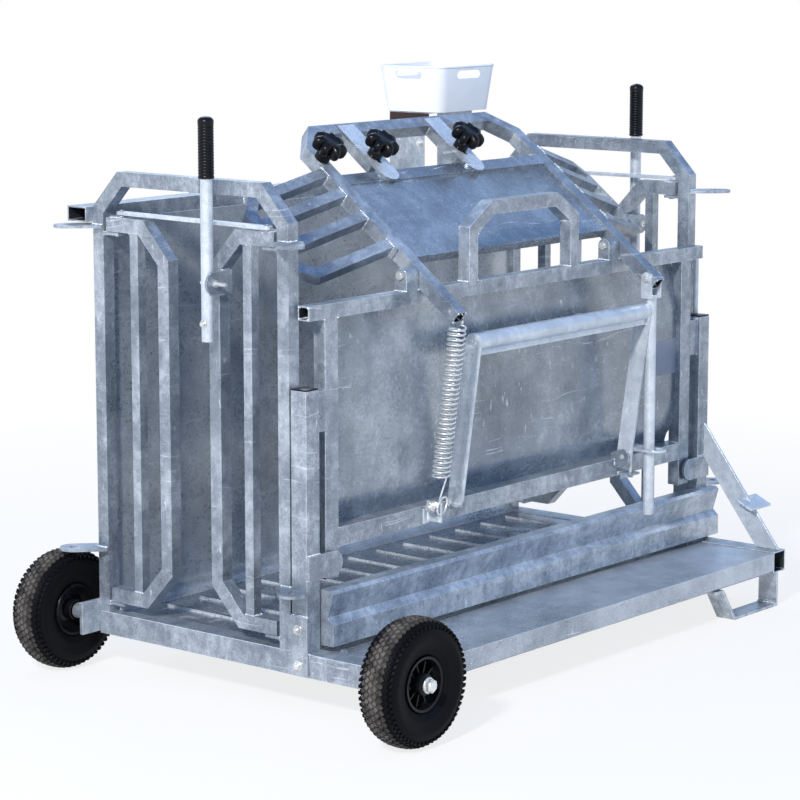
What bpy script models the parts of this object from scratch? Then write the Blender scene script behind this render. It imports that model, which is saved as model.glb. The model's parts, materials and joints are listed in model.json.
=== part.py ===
"""Wheeled squeeze crate for sheep and goats, as an assembly of separate pieces.

The design frame has x running from the entry gate (0) to the exit gate, y from the
operator's side (negative) to the far side, and z up from the ground. Metres.
"""
import math

import bmesh
import bpy
from mathutils import Matrix, Vector

# ---------------------------------------------------------------- clearances
GAP = 0.0003                  # air left between two pieces that touch
HOLE_PLAY = 0.0006            # added to the radius of a hole around a pin
WELD = 0.001                  # how far one welded shape reaches into the next
RUNNING_PLAY = 0.0015         # between a sliding or turning piece and its guide

# ---------------------------------------------------------------- crate
LENGTH = 1.45                 # outside of entry posts to outside of exit posts
TUBE = 0.030                  # square tube of the gates, the panel and the hood
INSIDE_HALF = 0.2435          # centre-line to the inner face of a post
POST_OUT = INSIDE_HALF + TUBE     # centre-line to the outer face of a post
POST_STRAIGHT_TOP = 0.995     # outside height where the arch starts to lean in
ARCH_RUN = 0.071              # sideways run of the arch's sloping corners
ARCH_TOP = 1.074
CROSS = 0.050                 # square tube across the base, under each gate
CROSS_WALL = 0.003
CROSS_BOTTOM = 0.080
PLATFORM_IN = POST_OUT + 0.0615
PLATFORM_OUT = PLATFORM_IN + 0.2075   # near end of the cross tubes and the platform
SHEET = 0.0025
FLAT = 0.006                  # thickness of the flat bar used for lugs and tabs
BEARER = 0.040

# ---------------------------------------------------------------- floor
FLOOR_SHEET = 0.003
RIB_HEIGHT = 0.006
RIB_WIDTH = 0.012
RIB_PITCH = 0.100
FLOOR_NEAR = -(POST_OUT + 0.0265)
FLOOR_FAR = INSIDE_HALF - 0.0115

# ---------------------------------------------------------------- wheels
WHEEL_RADIUS = 0.130
TYRE_WIDTH = 0.085
RIM_RADIUS = 0.056
RIM_WIDTH = 0.062
HUB_RADIUS = 0.022
HUB_WIDTH = 0.074
AXLE_RADIUS = 0.010
AXLE_X = -0.030
AXLE_PLATE = 0.008
NEAR_WHEEL_Y = -(PLATFORM_OUT + HUB_WIDTH)
FAR_WHEEL_Y = POST_OUT + HUB_WIDTH
NUT_RADIUS = 0.015
NUT_LENGTH = 0.012

# ---------------------------------------------------------------- columns and hinge of the side panel
COLUMN = 0.040
COLUMN_Y = -(POST_OUT + 0.024)
COLUMN_TOP = 0.665
COLUMN_PLATE_HALF = 0.025     # half width of the plate on the column's outer face
CAP_HEIGHT = 0.003
PANEL_HINGE_Y = -(POST_OUT + 0.021)
PANEL_HINGE_Z = 0.315
PANEL_PIN_RADIUS = 0.007
PANEL_PIN_SEAT = 0.012        # depth of the hinge pin in the column and in the panel
TAB_LOW = 0.280
TAB_HIGH = 0.330
TAB_REACH = 0.105

# ---------------------------------------------------------------- side panel
PANEL_BAR = 0.040             # width of the panel's uprights along x
PANEL_START = 0.068           # outer face of the entry upright
PANEL_LOW = 0.270
RAIL_LOW = 0.803
RAIL_OVERHANG = 0.020         # top rail's end to the outside of the posts
LOWER_RAIL_LOW = 0.332
LOWER_RAIL = 0.040
LOOP_START = 0.536
LOOP_END = 0.930
LOOP_TOP = 1.000
LOOP_RUN = 0.078
LOOP_RISE = 0.055

# ---------------------------------------------------------------- hood
HOOD_SLOPE = math.radians(37.7)
HOOD_START_Y = -(POST_OUT + 0.1393) # upper edge of an arm at its open near end
HOOD_START_Z = 0.793
ARM_LEFT = 0.367              # outer face of the entry-side arm
ARM_RIGHT = 1.1185            # outer face of the exit-side arm
ARM_LENGTH = 0.5217           # up to the sloping corner
HOOD_CORNER = 0.065
PIVOT_RADIUS = 0.006
SHEET_LOW_S = 0.1745
CARRIER_LOW_S = 0.400         # square bar that carries the hood sheet
HOOD_TRAVEL = 0.020
FINGER_LOW_S = 0.455
FINGER_X = (0.540, 0.840)
FINGER = 0.028
ADJUSTER_WIDTH = 0.055
KNOB_RADIUS = 0.0405
KNOB_HEIGHT = 0.054
KNOB_COLLAR = 0.020             # height of the collar under the lobes
KNOB_COLLAR_RADIUS = 0.016
STUD_RADIUS = 0.004
KNOB_S = 0.472
ARM_KNOB_S = 0.484

# ---------------------------------------------------------------- wings
WING_REACH = 0.240
WING_TILT = math.radians(18.0)
WING_BAR = 0.025
WING_BARS_S = (0.446, 0.3828, 0.3082, 0.2204)
WING_CORNER = 0.030

# ---------------------------------------------------------------- clamp rod, lock and release
ROD_RADIUS = 0.0125
ROD_Y = -(POST_OUT + 0.1135)
ROD_LOW = 0.250
CLEVIS_DROP = 0.046           # clamp bolt down to the rod's top
LOCK_Z = 0.400
LOCK_TIP_Y = -(POST_OUT + 0.1565)
LOCK_SLOT = 0.024             # how far the rod can wander outwards in the lock plate
LEG_WIDTH = 0.040
LEG_THICK = 0.005
LEG_LEFT_X = 0.462
RELEASE_Y = -(POST_OUT + 0.0575)
RELEASE_Z = 0.380
RELEASE_TOP_Z = 0.718
RELEASE_LEAN = math.radians(7.9)
CROSSBAR_RADIUS = 0.0195
RELEASE_PIN_RADIUS = 0.005

# ---------------------------------------------------------------- spring
SPRING_RADIUS = 0.020
SPRING_WIRE = 0.0035
SPRING_TOP = Vector((0.382, -(POST_OUT + 0.1265), 0.768))
SPRING_FOOT = Vector((0.393, -(POST_OUT + 0.0665), 0.385))
SPRING_HOOK = 0.030

# ---------------------------------------------------------------- gates
LEAF_HINGE_Y = INSIDE_HALF - 0.0285
LEAF_EDGE_Y = 0.057           # free edge of a leaf
LEAF_LOW = 0.155
LEAF_HIGH = 0.978
LEAF_CORNER_RUN = 0.065
LEAF_CORNER_RISE = 0.070
LEAF_BAR = 0.0225
LEAF_BAR_Y = 0.159
HINGE_PIN_RADIUS = 0.006
HINGE_LUG = 0.006
CRANK = 0.012
CRANK_PIN_RADIUS = 0.004
LINK_LOW = 0.982
LINK_THICK = 0.007
LINK_WIDTH = 0.022
LINK_SLOT_PLAY = 0.0036           # play of the link's free eye, which closes the linkage
LEVER_RADIUS = 0.013
LEVER_Y = -0.080
LEVER_OUT = 0.0285            # lever's centre in front of the gate's outer face
LEVER_LOW = 0.748
LEVER_PIVOT_Z = 0.867
GRIP_LOW = 1.078
GRIP_HIGH = 1.203
GRIP_RADIUS = 0.0165
LEVER_BOLT_RADIUS = 0.004
LEVER_BOLT_TAIL = 0.026          # thread left over beyond the nut

# ---------------------------------------------------------------- lugs
LUG_WIDTH = 0.060
LUG_REACH = 0.085
LUG_HOLE = 0.009
UPPER_LUG_Z = 0.955
LOWER_LUG_Z = 0.2555
WHEEL_LUG_Z = 2 * WHEEL_RADIUS + 0.0045

# ---------------------------------------------------------------- far side and tray
RAIL_DEEP = 0.055
RAIL_THICK = 0.032
FAR_RAIL_LOW = 0.966
FAR_RAIL_LEAD = 0.020
TRAY_LOW = (1.054, POST_OUT - 0.0895)
TRAY_HIGH = (1.276, POST_OUT + 0.1065)
TRAY_BOTTOM = 1.142
TRAY_RIM = 1.250
TRAY_TAPER = 0.012
TRAY_WALL = 0.0025
TRAY_SLOT = (0.030, 0.011)       # lower and upper edge of the hand slots below the rim
TRAY_SLOT_HALF = (0.034, 0.030)  # half a slot's straight run in the near and the entry wall
BRACKET_WIDTH = 0.106            # tray bracket, across the crate
BRACKET_THICK = 0.003

# ---------------------------------------------------------------- feet
FOOT_WIDTH = 0.050
FOOT_FLAT_START = 1.234
FOOT_FLAT_END = 1.416
FOOT_TOP_START = 1.183
FOOT_LUG_OUT = 0.030          # foot lug's tip beyond the exit posts
LUG_TIP_OUT = 0.067           # an arch lug's tip beyond the posts

# ---------------------------------------------------------------- worked out
CROSS_TOP = CROSS_BOTTOM + CROSS
BEARER_TOP = CROSS_TOP - 0.005
FLOOR_TOP = BEARER_TOP + GAP + FLOOR_SHEET + RIB_HEIGHT
RAIL_Y = PANEL_HINGE_Y - TUBE / 2
RAIL_HIGH = RAIL_LOW + TUBE
PANEL_END = LENGTH - PANEL_START
ARM_CENTRE_RIGHT = ARM_RIGHT - TUBE / 2
HOOD_PLACE = Matrix.Translation((0, HOOD_START_Y, HOOD_START_Z)) @ Matrix.Rotation(HOOD_SLOPE, 4, "X")
HOOD_DROP_S = math.tan(HOOD_SLOPE) * TUBE / 2     # from a level reading on the arm's edge to its middle
HOOD_PIVOT_S = (PANEL_HINGE_Y - HOOD_START_Y) / math.cos(HOOD_SLOPE) - HOOD_DROP_S
HOOD_PIVOT = HOOD_PLACE @ Vector((0, HOOD_PIVOT_S, -TUBE / 2))
ROD_S = (ROD_Y - HOOD_START_Y) / math.cos(HOOD_SLOPE) - HOOD_DROP_S
ROD_BOLT = HOOD_PLACE @ Vector((ARM_CENTRE_RIGHT, ROD_S, -TUBE / 2))
LEG_RIGHT_X = ARM_CENTRE_RIGHT - ROD_RADIUS - RUNNING_PLAY - LEG_THICK
ORIGIN_X = ((AXLE_X - WHEEL_RADIUS) + LENGTH + LUG_TIP_OUT) / 2
ORIGIN_Y = (NEAR_WHEEL_Y + FAR_WHEEL_Y) / 2
FLAT_ON_YZ = Matrix(((0, 0, 1, 0), (1, 0, 0, 0), (0, 1, 0, 0), (0, 0, 0, 1)))
FLAT_ON_XZ = Matrix(((1, 0, 0, 0), (0, 0, -1, 0), (0, 1, 0, 0), (0, 0, 0, 1)))


def along_x(x):
    """Frame of an outline drawn in y and z, and pushed out towards +x from x."""
    return Matrix.Translation((x, 0, 0)) @ FLAT_ON_YZ


def along_y(y):
    """Frame of an outline drawn in x and z, and pushed out towards -y from y."""
    return Matrix.Translation((0, y, 0)) @ FLAT_ON_XZ


def along_z(z):
    """Frame of an outline drawn in x and y, and pushed out upwards from z."""
    return Matrix.Translation((0, 0, z))


# ---------------------------------------------------------------- materials
def make_finish(name, colour, roughness, metallic):
    finish = bpy.data.materials.new(name)
    finish.use_nodes = True
    shader = finish.node_tree.nodes["Principled BSDF"]
    shader.inputs["Base Color"].default_value = (*colour, 1)
    shader.inputs["Roughness"].default_value = roughness
    shader.inputs["Metallic"].default_value = metallic
    finish.diffuse_color = (*colour, 1)
    return finish


# ---------------------------------------------------------------- outlines
def arc(centre, radius, start, end, steps):
    """Points on a circle from one angle to another, in degrees."""
    turns = [math.radians(start + (end - start) * i / steps) for i in range(steps + 1)]
    return [(centre[0] + radius * math.cos(a), centre[1] + radius * math.sin(a)) for a in turns]


def rounded_bar(start, end, width, steps=10):
    """Outline of a flat bar from start, cut square, to end, rounded."""
    first, last = Vector(start), Vector(end)
    heading = math.degrees(math.atan2(last.y - first.y, last.x - first.x))
    side = Vector((-(last - first).y, (last - first).x)).normalized() * width / 2
    return [tuple(first + side), tuple(first - side)] + arc(end, width / 2, heading - 90, heading + 90, steps)


def bar_outline(points, width):
    """Outline of a bar bent along a centre line with mitred corners."""
    line = [Vector(p) for p in points]
    left, right = [], []
    for i, point in enumerate(line):
        before = (point - line[i - 1]).normalized() if i else (line[1] - point).normalized()
        after = (line[i + 1] - point).normalized() if i + 1 < len(line) else before
        mitre = (before + after).normalized()
        side = Vector((-mitre.y, mitre.x)) * (width / 2) / mitre.dot(after)
        left.append(tuple(point + side))
        right.append(tuple(point - side))
    return left + right[::-1]


# ---------------------------------------------------------------- pieces
class Piece:
    """A node: a first solid, with others welded on and holes cut through."""

    def __init__(self, name, finish, origin=(0, 0, 0)):
        self.name, self.finish, self.origin = name, finish, Vector(origin)
        self.body, self.welds, self.cuts = bmesh.new(), bmesh.new(), bmesh.new()

    def add(self, shape, cut=False):
        """Put a finished solid with the body, the welds or the cuts."""
        bmesh.ops.recalc_face_normals(shape, faces=shape.faces)
        target = self.cuts if cut else (self.welds if self.body.verts else self.body)
        solid = bpy.data.meshes.new("solid")
        shape.to_mesh(solid)
        target.from_mesh(solid)
        bpy.data.meshes.remove(solid)
        shape.free()
        return self

    def box(self, low, high, cut=False, place=Matrix.Identity(4)):
        low, high = Vector(low), Vector(high)
        shape = bmesh.new()
        size = Matrix.Diagonal((*(high - low), 1))
        bmesh.ops.create_cube(shape, size=1, matrix=place @ Matrix.Translation((low + high) / 2) @ size)
        return self.add(shape, cut)

    def plate(self, outline, thick, place=Matrix.Identity(4), cut=False):
        """Push a flat outline out by thick along its frame's third axis."""
        shape = bmesh.new()
        face = shape.faces.new([shape.verts.new((*point, 0)) for point in outline])
        pushed = bmesh.ops.extrude_face_region(shape, geom=[face])["geom"]
        top = [v for v in pushed if isinstance(v, bmesh.types.BMVert)]
        bmesh.ops.translate(shape, verts=top, vec=(0, 0, thick))
        bmesh.ops.transform(shape, matrix=place, verts=shape.verts)
        return self.add(shape, cut)

    def tube(self, points, width, thick, place=Matrix.Identity(4)):
        return self.plate(bar_outline(points, width), thick, place)

    def rod(self, start, end, radius, sides=None, cut=False, tip=None):
        """Round bar, or a drilled hole, which needs only half as many sides."""
        start, end = Vector(start), Vector(end)
        sides = sides or (12 if cut else 24)
        shape = bmesh.new()
        turn = (end - start).to_track_quat("Z", "Y").to_matrix().to_4x4()
        bmesh.ops.create_cone(shape, cap_ends=True, segments=sides, radius1=radius,
                              radius2=radius if tip is None else tip, depth=(end - start).length,
                              matrix=Matrix.Translation((start + end) / 2) @ turn)
        return self.add(shape, cut)

    def turned(self, profile, centre, steps=32):
        """Turn a closed profile of (radius, across) about the y axis through centre."""
        shape = bmesh.new()
        ring = [shape.verts.new((r, across, 0)) for r, across in profile]
        edges = [shape.edges.new((ring[i - 1], ring[i])) for i in range(len(ring))]
        bmesh.ops.spin(shape, geom=ring + edges, cent=(0, 0, 0), axis=(0, 1, 0), dvec=(0, 0, 0),
                       angle=2 * math.pi, steps=steps, use_merge=True, use_duplicate=False)
        bmesh.ops.remove_doubles(shape, verts=shape.verts, dist=1e-6)
        bmesh.ops.translate(shape, verts=shape.verts, vec=centre)
        return self.add(shape)

    def make(self, crate):
        """Write the piece as an object under the crate's empty, its origin on its axis."""
        node = self.write(self.name, self.body, crate)
        for tail, shape, operation in (("welds", self.welds, "UNION"), ("cuts", self.cuts, "DIFFERENCE")):
            if not shape.verts:
                continue
            helper = self.write(f"{self.name}_{tail}", shape, crate)
            helper.hide_render = True
            helper.display_type = "WIRE"
            join = node.modifiers.new(tail, "BOOLEAN")
            join.operation, join.object, join.solver, join.use_self = operation, helper, "EXACT", True
        return node

    def write(self, name, shape, crate):
        bmesh.ops.translate(shape, verts=shape.verts, vec=-self.origin)
        mesh = bpy.data.meshes.new(name)
        shape.to_mesh(mesh)
        shape.free()
        mesh.materials.append(self.finish)
        mesh.shade_smooth()
        mesh.set_sharp_from_angle(angle=math.radians(35))
        item = bpy.data.objects.new(name, mesh)
        item.location = self.origin
        item.parent = crate
        bpy.context.scene.collection.objects.link(item)
        return item


# ---------------------------------------------------------------- base
def base_frame(steel, crate):
    base = Piece("base_frame", steel)
    ends = (GAP, LENGTH - CROSS - GAP)
    for x in ends:
        base.box((x, -PLATFORM_OUT, CROSS_BOTTOM), (x + CROSS, POST_OUT, CROSS_TOP))
    inner = (GAP + CROSS - 0.001, LENGTH - CROSS - GAP + 0.001)
    platform_bearer = -PLATFORM_OUT + SHEET + 0.005
    for y in (platform_bearer, FLOOR_NEAR, POST_OUT - BEARER):
        base.box((inner[0], y, CROSS_BOTTOM), (inner[1], y + BEARER, BEARER_TOP - GAP * (y < FLOOR_NEAR)))
    middle = (inner[0] + inner[1] - BEARER) / 2
    base.box((middle, FLOOR_NEAR, CROSS_BOTTOM),
             (middle + BEARER, POST_OUT - BEARER + WELD, BEARER_TOP - WELD))
    bore = CROSS_WALL
    exit_x = ends[1]
    base.box((exit_x + bore, -PLATFORM_OUT - 0.01, CROSS_BOTTOM + bore),
             (exit_x + CROSS - bore, -PLATFORM_OUT + 0.15, CROSS_TOP - bore), cut=True)
    base.box((exit_x + bore, POST_OUT - 0.15, CROSS_BOTTOM + bore),
             (exit_x + CROSS - bore, POST_OUT + 0.01, CROSS_TOP - bore), cut=True)
    base.make(crate)


def floor_tread(steel, crate):
    floor = Piece("floor_tread", steel)
    low = BEARER_TOP + GAP
    start, end = CROSS + 2 * GAP, LENGTH - CROSS - 2 * GAP
    floor.box((start, FLOOR_NEAR, low), (end, FLOOR_FAR, low + FLOOR_SHEET))
    count = int((end - start) / RIB_PITCH)
    first = (start + end - (count - 1) * RIB_PITCH - RIB_WIDTH) / 2
    margin = 0.045
    for i in range(count):
        x = first + i * RIB_PITCH
        floor.box((x, FLOOR_NEAR + margin, low + WELD), (x + RIB_WIDTH, FLOOR_FAR - margin, FLOOR_TOP))
    floor.make(crate)


def platform_deck(steel, crate):
    deck = Piece("platform_deck", steel)
    top, drop = BEARER_TOP + SHEET + GAP, 0.042
    start, end = CROSS + 2 * GAP, LENGTH - CROSS - 2 * GAP
    half = SHEET / 2
    line = [(-PLATFORM_OUT + half, top - drop), (-PLATFORM_OUT + half, top - half),
            (-PLATFORM_IN - half, top - half), (-PLATFORM_IN - half, top - drop)]
    deck.tube(line, SHEET, end - start, along_x(start))
    deck.make(crate)


def foot(name, y, steel, crate):
    rest = Piece(name, steel)
    half, top = FLAT / 2, CROSS_BOTTOM - GAP
    line = [(FOOT_TOP_START - 0.030, top - half), (FOOT_TOP_START, top - half), (FOOT_FLAT_START, half),
            (FOOT_FLAT_END - half, half), (FOOT_FLAT_END - half, top)]
    rest.tube(line, FLAT, FOOT_WIDTH, along_y(y + FOOT_WIDTH))
    rest.make(crate)


# ---------------------------------------------------------------- wheels
def wheel(side, y, steel, rubber, plastic, zinc, crate):
    """Tyre, rim, stub axle and nut of one wheel; outward is away from the crate."""
    out = 1 if y > 0 else -1
    centre = Vector((AXLE_X, y, WHEEL_RADIUS))
    half, seat = TYRE_WIDTH / 2, RIM_RADIUS + GAP
    crown = 0.010
    tyre = Piece(f"tyre_{side}", rubber, centre)
    wall = [(seat, -half * 0.62), (seat + 0.012, -half * 0.80), (WHEEL_RADIUS - 0.040, -half),
            (WHEEL_RADIUS - 0.022, -half * 0.97), (WHEEL_RADIUS - crown, -half * 0.74),
            (WHEEL_RADIUS, -half * 0.40)]
    tyre.turned(wall + [(r, -across) for r, across in reversed(wall)], centre)
    tyre.make(crate)

    rim = Piece(f"rim_{side}", plastic, centre)
    bore, web = AXLE_RADIUS + HOLE_PLAY, 0.006
    barrel, flange = RIM_RADIUS - 0.008, RIM_WIDTH / 2
    rim.turned([(bore, -HUB_WIDTH / 2), (HUB_RADIUS, -HUB_WIDTH / 2), (HUB_RADIUS, -web), (barrel, -web),
                (barrel, -flange), (RIM_RADIUS, -half * 0.62), (RIM_RADIUS, half * 0.62), (barrel, flange),
                (barrel, web), (HUB_RADIUS, web), (HUB_RADIUS, HUB_WIDTH / 2), (bore, HUB_WIDTH / 2)], centre)
    rim.make(crate)

    tube_end = POST_OUT if out > 0 else -PLATFORM_OUT
    axle = Piece(f"axle_{side}", steel)
    inner, outer = tube_end + out * GAP, tube_end + out * (GAP + AXLE_PLATE)
    axle.box((AXLE_X - 0.022, min(inner, outer), CROSS_BOTTOM + 0.005),
             (CROSS, max(inner, outer), CROSS_TOP + 0.025))
    hub_in, hub_out = y - out * (HUB_WIDTH / 2 + GAP), y + out * (HUB_WIDTH / 2 + GAP)
    axle.rod((AXLE_X, inner, WHEEL_RADIUS), (AXLE_X, hub_out, WHEEL_RADIUS), AXLE_RADIUS)
    if abs(hub_in - outer) > 0.002:
        axle.rod((AXLE_X, outer - out * WELD, WHEEL_RADIUS), (AXLE_X, hub_in, WHEEL_RADIUS),
                 HUB_RADIUS - 0.005)
    axle.make(crate)

    nut = Piece(f"wheel_nut_{side}", zinc)
    washer = hub_out + out * (GAP + 0.003)
    nut.rod((AXLE_X, hub_out + out * GAP, WHEEL_RADIUS), (AXLE_X, washer, WHEEL_RADIUS), HUB_RADIUS)
    nut.rod((AXLE_X, washer - out * 0.001, WHEEL_RADIUS), (AXLE_X, washer + out * NUT_LENGTH, WHEEL_RADIUS),
            NUT_RADIUS, sides=6, tip=NUT_RADIUS * 0.9)
    nut.make(crate)


# ---------------------------------------------------------------- gate frames
def lug(frame, post_x, side_y, heading, z):
    """A drilled flat lug that points diagonally out of a post's corner."""
    turn = Vector((math.cos(math.radians(heading)), math.sin(math.radians(heading))))
    start = Vector((post_x, side_y)) + turn * 0.004
    tip = start + turn * (LUG_REACH - LUG_WIDTH / 2 + TUBE / 2)
    frame.plate(rounded_bar(start, tip, LUG_WIDTH), FLAT, along_z(z))
    frame.rod((*tip, z - 0.01), (*tip, z + FLAT + 0.01), LUG_HOLE, cut=True)


def gate_frame(name, x, out, steel, crate):
    """Arch of one end; out is -1 at the entry and +1 at the exit."""
    frame = Piece(name, steel)
    half = TUBE / 2
    side, low = POST_OUT - half, CROSS_TOP + GAP
    lean = (ARCH_TOP - POST_STRAIGHT_TOP) / ARCH_RUN
    shoulder = POST_STRAIGHT_TOP - half * math.tan(math.atan(lean) / 2) * 0.5
    line = [(-side, low), (-side, shoulder), (-side + ARCH_RUN - half * 0.5, ARCH_TOP - half),
            (side - ARCH_RUN + half * 0.5, ARCH_TOP - half), (side, shoulder), (side, low)]
    frame.tube(line, TUBE, TUBE, along_x(x))
    middle = x + half
    outer = x if out < 0 else x + TUBE
    for y_side in (-1, 1):
        heading = math.degrees(math.atan2(y_side, out))
        lower = WHEEL_LUG_Z if (out < 0 and y_side > 0) else LOWER_LUG_Z
        for z in (lower, UPPER_LUG_Z):
            lug(frame, middle, y_side * side, heading, z)
        near, far = sorted((y_side * (LEAF_HINGE_Y - 0.013), y_side * (INSIDE_HALF + 0.004)))
        for z in (LEAF_LOW - RUNNING_PLAY - HINGE_LUG, LEAF_HIGH - TUBE - RUNNING_PLAY - HINGE_LUG):
            frame.box((x + 0.002, near, z), (x + TUBE - 0.002, far, z + HINGE_LUG))
            frame.rod((middle, y_side * LEAF_HINGE_Y, z - 0.01), (middle, y_side * LEAF_HINGE_Y, z + 0.02),
                      HINGE_PIN_RADIUS + HOLE_PLAY, cut=True)
    catch = sorted((outer, outer + out * FLAT))
    frame.box((catch[0] - 0.001 * (out > 0), -0.038, ARCH_TOP - TUBE),
              (catch[1] + 0.001 * (out < 0), -0.010, ARCH_TOP))
    column_x = (-GAP, COLUMN + 0.02) if out < 0 else (LENGTH - COLUMN - 0.02, LENGTH + GAP)
    frame.box((column_x[0], -0.40, CROSS_TOP), (column_x[1], -POST_OUT - GAP, COLUMN_TOP + 0.02), cut=True)
    frame.make(crate)


# ---------------------------------------------------------------- columns, toe rail, brace
def column(end, x, out, steel, plastic, crate):
    """Column that carries the side panel's hinge; out is -1 at the entry."""
    post = Piece(f"{end}_column", steel)
    near, far = COLUMN_Y - COLUMN / 2, COLUMN_Y + COLUMN / 2
    post.box((x, near, CROSS_TOP + GAP), (x + COLUMN, far, COLUMN_TOP))
    front = sorted((x if out < 0 else x + COLUMN, (x if out < 0 else x + COLUMN) + out * FLAT))
    plate_low, plate_high, plate_half = 0.084, 0.206, COLUMN_PLATE_HALF
    post.box((front[0] - (out > 0) * WELD, COLUMN_Y - plate_half, CROSS_TOP + GAP),
             (front[1] + (out < 0) * WELD, min(COLUMN_Y + plate_half, -POST_OUT - GAP), plate_high))
    post.box((front[0], COLUMN_Y - plate_half, plate_low),
             (front[1], COLUMN_Y + plate_half, CROSS_TOP + 0.004))
    inner = x + COLUMN if out < 0 else x
    pad = sorted((inner + out * 0.001, inner - out * (PANEL_START - COLUMN - GAP)))
    post.box((pad[0], near + 0.007, 0.577), (pad[1], far - 0.003, 0.660))
    outer = x if out < 0 else x + COLUMN
    tip = outer - out * (TAB_REACH - (TAB_HIGH - TAB_LOW) / 2)
    tab = rounded_bar((outer, (TAB_LOW + TAB_HIGH) / 2), (tip, (TAB_LOW + TAB_HIGH) / 2), TAB_HIGH - TAB_LOW)
    post.plate(tab, FLAT + 0.001, along_y(near + 0.001))
    seat = inner + out * PANEL_PIN_SEAT
    post.rod((seat, PANEL_HINGE_Y, PANEL_HINGE_Z), (inner - out * 0.01, PANEL_HINGE_Y, PANEL_HINGE_Z),
             PANEL_PIN_RADIUS + HOLE_PLAY, cut=True)
    post.make(crate)

    cap = Piece(f"{end}_column_cap", plastic)
    cap.box((x, near, COLUMN_TOP + GAP), (x + COLUMN, far, COLUMN_TOP + GAP + CAP_HEIGHT))
    cap.make(crate)

    pin = Piece(f"panel_hinge_pin_{end}", steel)
    pin.rod((seat - out * GAP, PANEL_HINGE_Y, PANEL_HINGE_Z),
            (inner - out * (PANEL_START - COLUMN + PANEL_PIN_SEAT - GAP), PANEL_HINGE_Y, PANEL_HINGE_Z),
            PANEL_PIN_RADIUS)
    pin.make(crate)


def toe_rail(steel, crate):
    """Folded guard rail under the side panel, hollow behind, with closed ends."""
    rail = Piece("toe_rail", steel)
    start, end, wall = COLUMN + 0.0045, LENGTH + 0.007, 0.004
    back, nose = -(POST_OUT + 0.0355), -(POST_OUT + 0.0728)
    bottom, top = CROSS_TOP + 0.0125, LOWER_LUG_Z - GAP - wall / 2
    ledge = bottom + 0.042
    face = [(back, bottom), (nose, bottom), (nose, ledge), (nose + 0.0145, ledge + 0.014),
            (nose, top - 0.005), (nose + 0.006, top), (back, top)]
    rail.tube(face, wall, end - start, along_x(start))
    for x in (start, LENGTH - COLUMN - 2 * GAP - wall):
        rail.plate(face, wall, along_x(x))
    beyond = (LENGTH + 0.1, 0, LOWER_LUG_Z + 0.1)
    rail.box((LENGTH - COLUMN - GAP, COLUMN_Y - COLUMN / 2 - GAP, 0), beyond, cut=True)
    rail.box((LENGTH - WELD - GAP, COLUMN_Y - COLUMN_PLATE_HALF - GAP, 0), beyond, cut=True)
    rail.make(crate)


def exit_brace(steel, crate):
    """Sloping stay from the base to the exit column, with a foot lug across it."""
    brace = Piece("exit_brace", steel)
    low, high, width = Vector((0.036 - PLATFORM_OUT, CROSS_TOP)), Vector((-POST_OUT - 0.0505, 0.369)), 0.050
    run = (high - low).normalized()
    x = LENGTH - COLUMN / 2 - FLAT / 2
    brace.tube([low - run * 0.05, high + run * 0.05], width, FLAT, along_x(x))
    brace.box((x - 0.01, -0.7, 0), (x + 0.02, 0, CROSS_TOP + GAP), cut=True)
    brace.box((x - 0.01, COLUMN_Y - COLUMN / 2 - FLAT - GAP, 0), (x + 0.02, 0, 0.6), cut=True)
    lean, start = Vector((0.022, 0.010)), LENGTH - 0.055
    middle = low + run * 0.111 + Vector((-run.y, run.x)) * width / 2
    brace.tube([middle - lean, middle + lean], FLAT, LENGTH + FOOT_LUG_OUT - start, along_x(start))
    brace.make(crate)


def drop_pin(steel, crate):
    pin = Piece("drop_pin", steel)
    x, low, high, radius = LENGTH - 0.009, COLUMN_TOP + CAP_HEIGHT + 2 * GAP, 0.800, 0.0060
    near = -POST_OUT - GAP - FLAT
    pin.box((LENGTH - 0.018, near, 0.775), (LENGTH, -POST_OUT - GAP, 0.815))
    pin.rod((x, near - radius + 0.0015, low), (x, near - radius + 0.0015, high), radius)
    pin.make(crate)


# ---------------------------------------------------------------- far side
def far_side(steel, crate):
    wall = Piece("far_wall_sheet", steel)
    y, low = INSIDE_HALF + 0.0125, BEARER_TOP + FLOOR_SHEET + 2 * GAP
    bend = 0.060
    foot_y = INSIDE_HALF - 0.0215
    turn = arc((y - bend, low + 0.045), bend, 0, -40, 8)
    line = [(y, FAR_RAIL_LOW + 0.004), *turn, (foot_y, low)]
    start, end = TUBE + GAP, LENGTH - TUBE - GAP
    wall.tube(line, SHEET, end - start, along_x(start))
    wall.box((start - 0.01, 0.1, 0), (end + 0.01, FLOOR_FAR + 0.008, low), cut=True)
    wall.box((start - 0.01, 0.1, 0), (CROSS + 2 * GAP, POST_OUT, CROSS_TOP + GAP), cut=True)
    wall.box((LENGTH - CROSS - 2 * GAP, 0.1, 0), (end + 0.01, POST_OUT, CROSS_TOP + GAP), cut=True)
    wall.make(crate)

    rail = Piece("far_top_rail", steel)
    inner, outer = POST_OUT + GAP, POST_OUT + GAP + RAIL_DEEP
    high = FAR_RAIL_LOW + RAIL_THICK
    rail.box((-FAR_RAIL_LEAD, inner, FAR_RAIL_LOW), (LENGTH + FAR_RAIL_LEAD, outer, high))
    stay_y = y + SHEET / 2 + GAP
    for x in (LENGTH / 3, LENGTH * 2 / 3):
        rail.box((x - 0.015, stay_y, BEARER_TOP + GAP), (x + 0.015, inner + 0.001, high - 0.002))
    bore, depth = 0.003, 0.15
    for x in (-FAR_RAIL_LEAD, LENGTH + FAR_RAIL_LEAD):
        rail.box((x - depth, inner + bore, FAR_RAIL_LOW + bore), (x + depth, outer - bore, high - bore),
                 cut=True)
    rail.make(crate)


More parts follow.
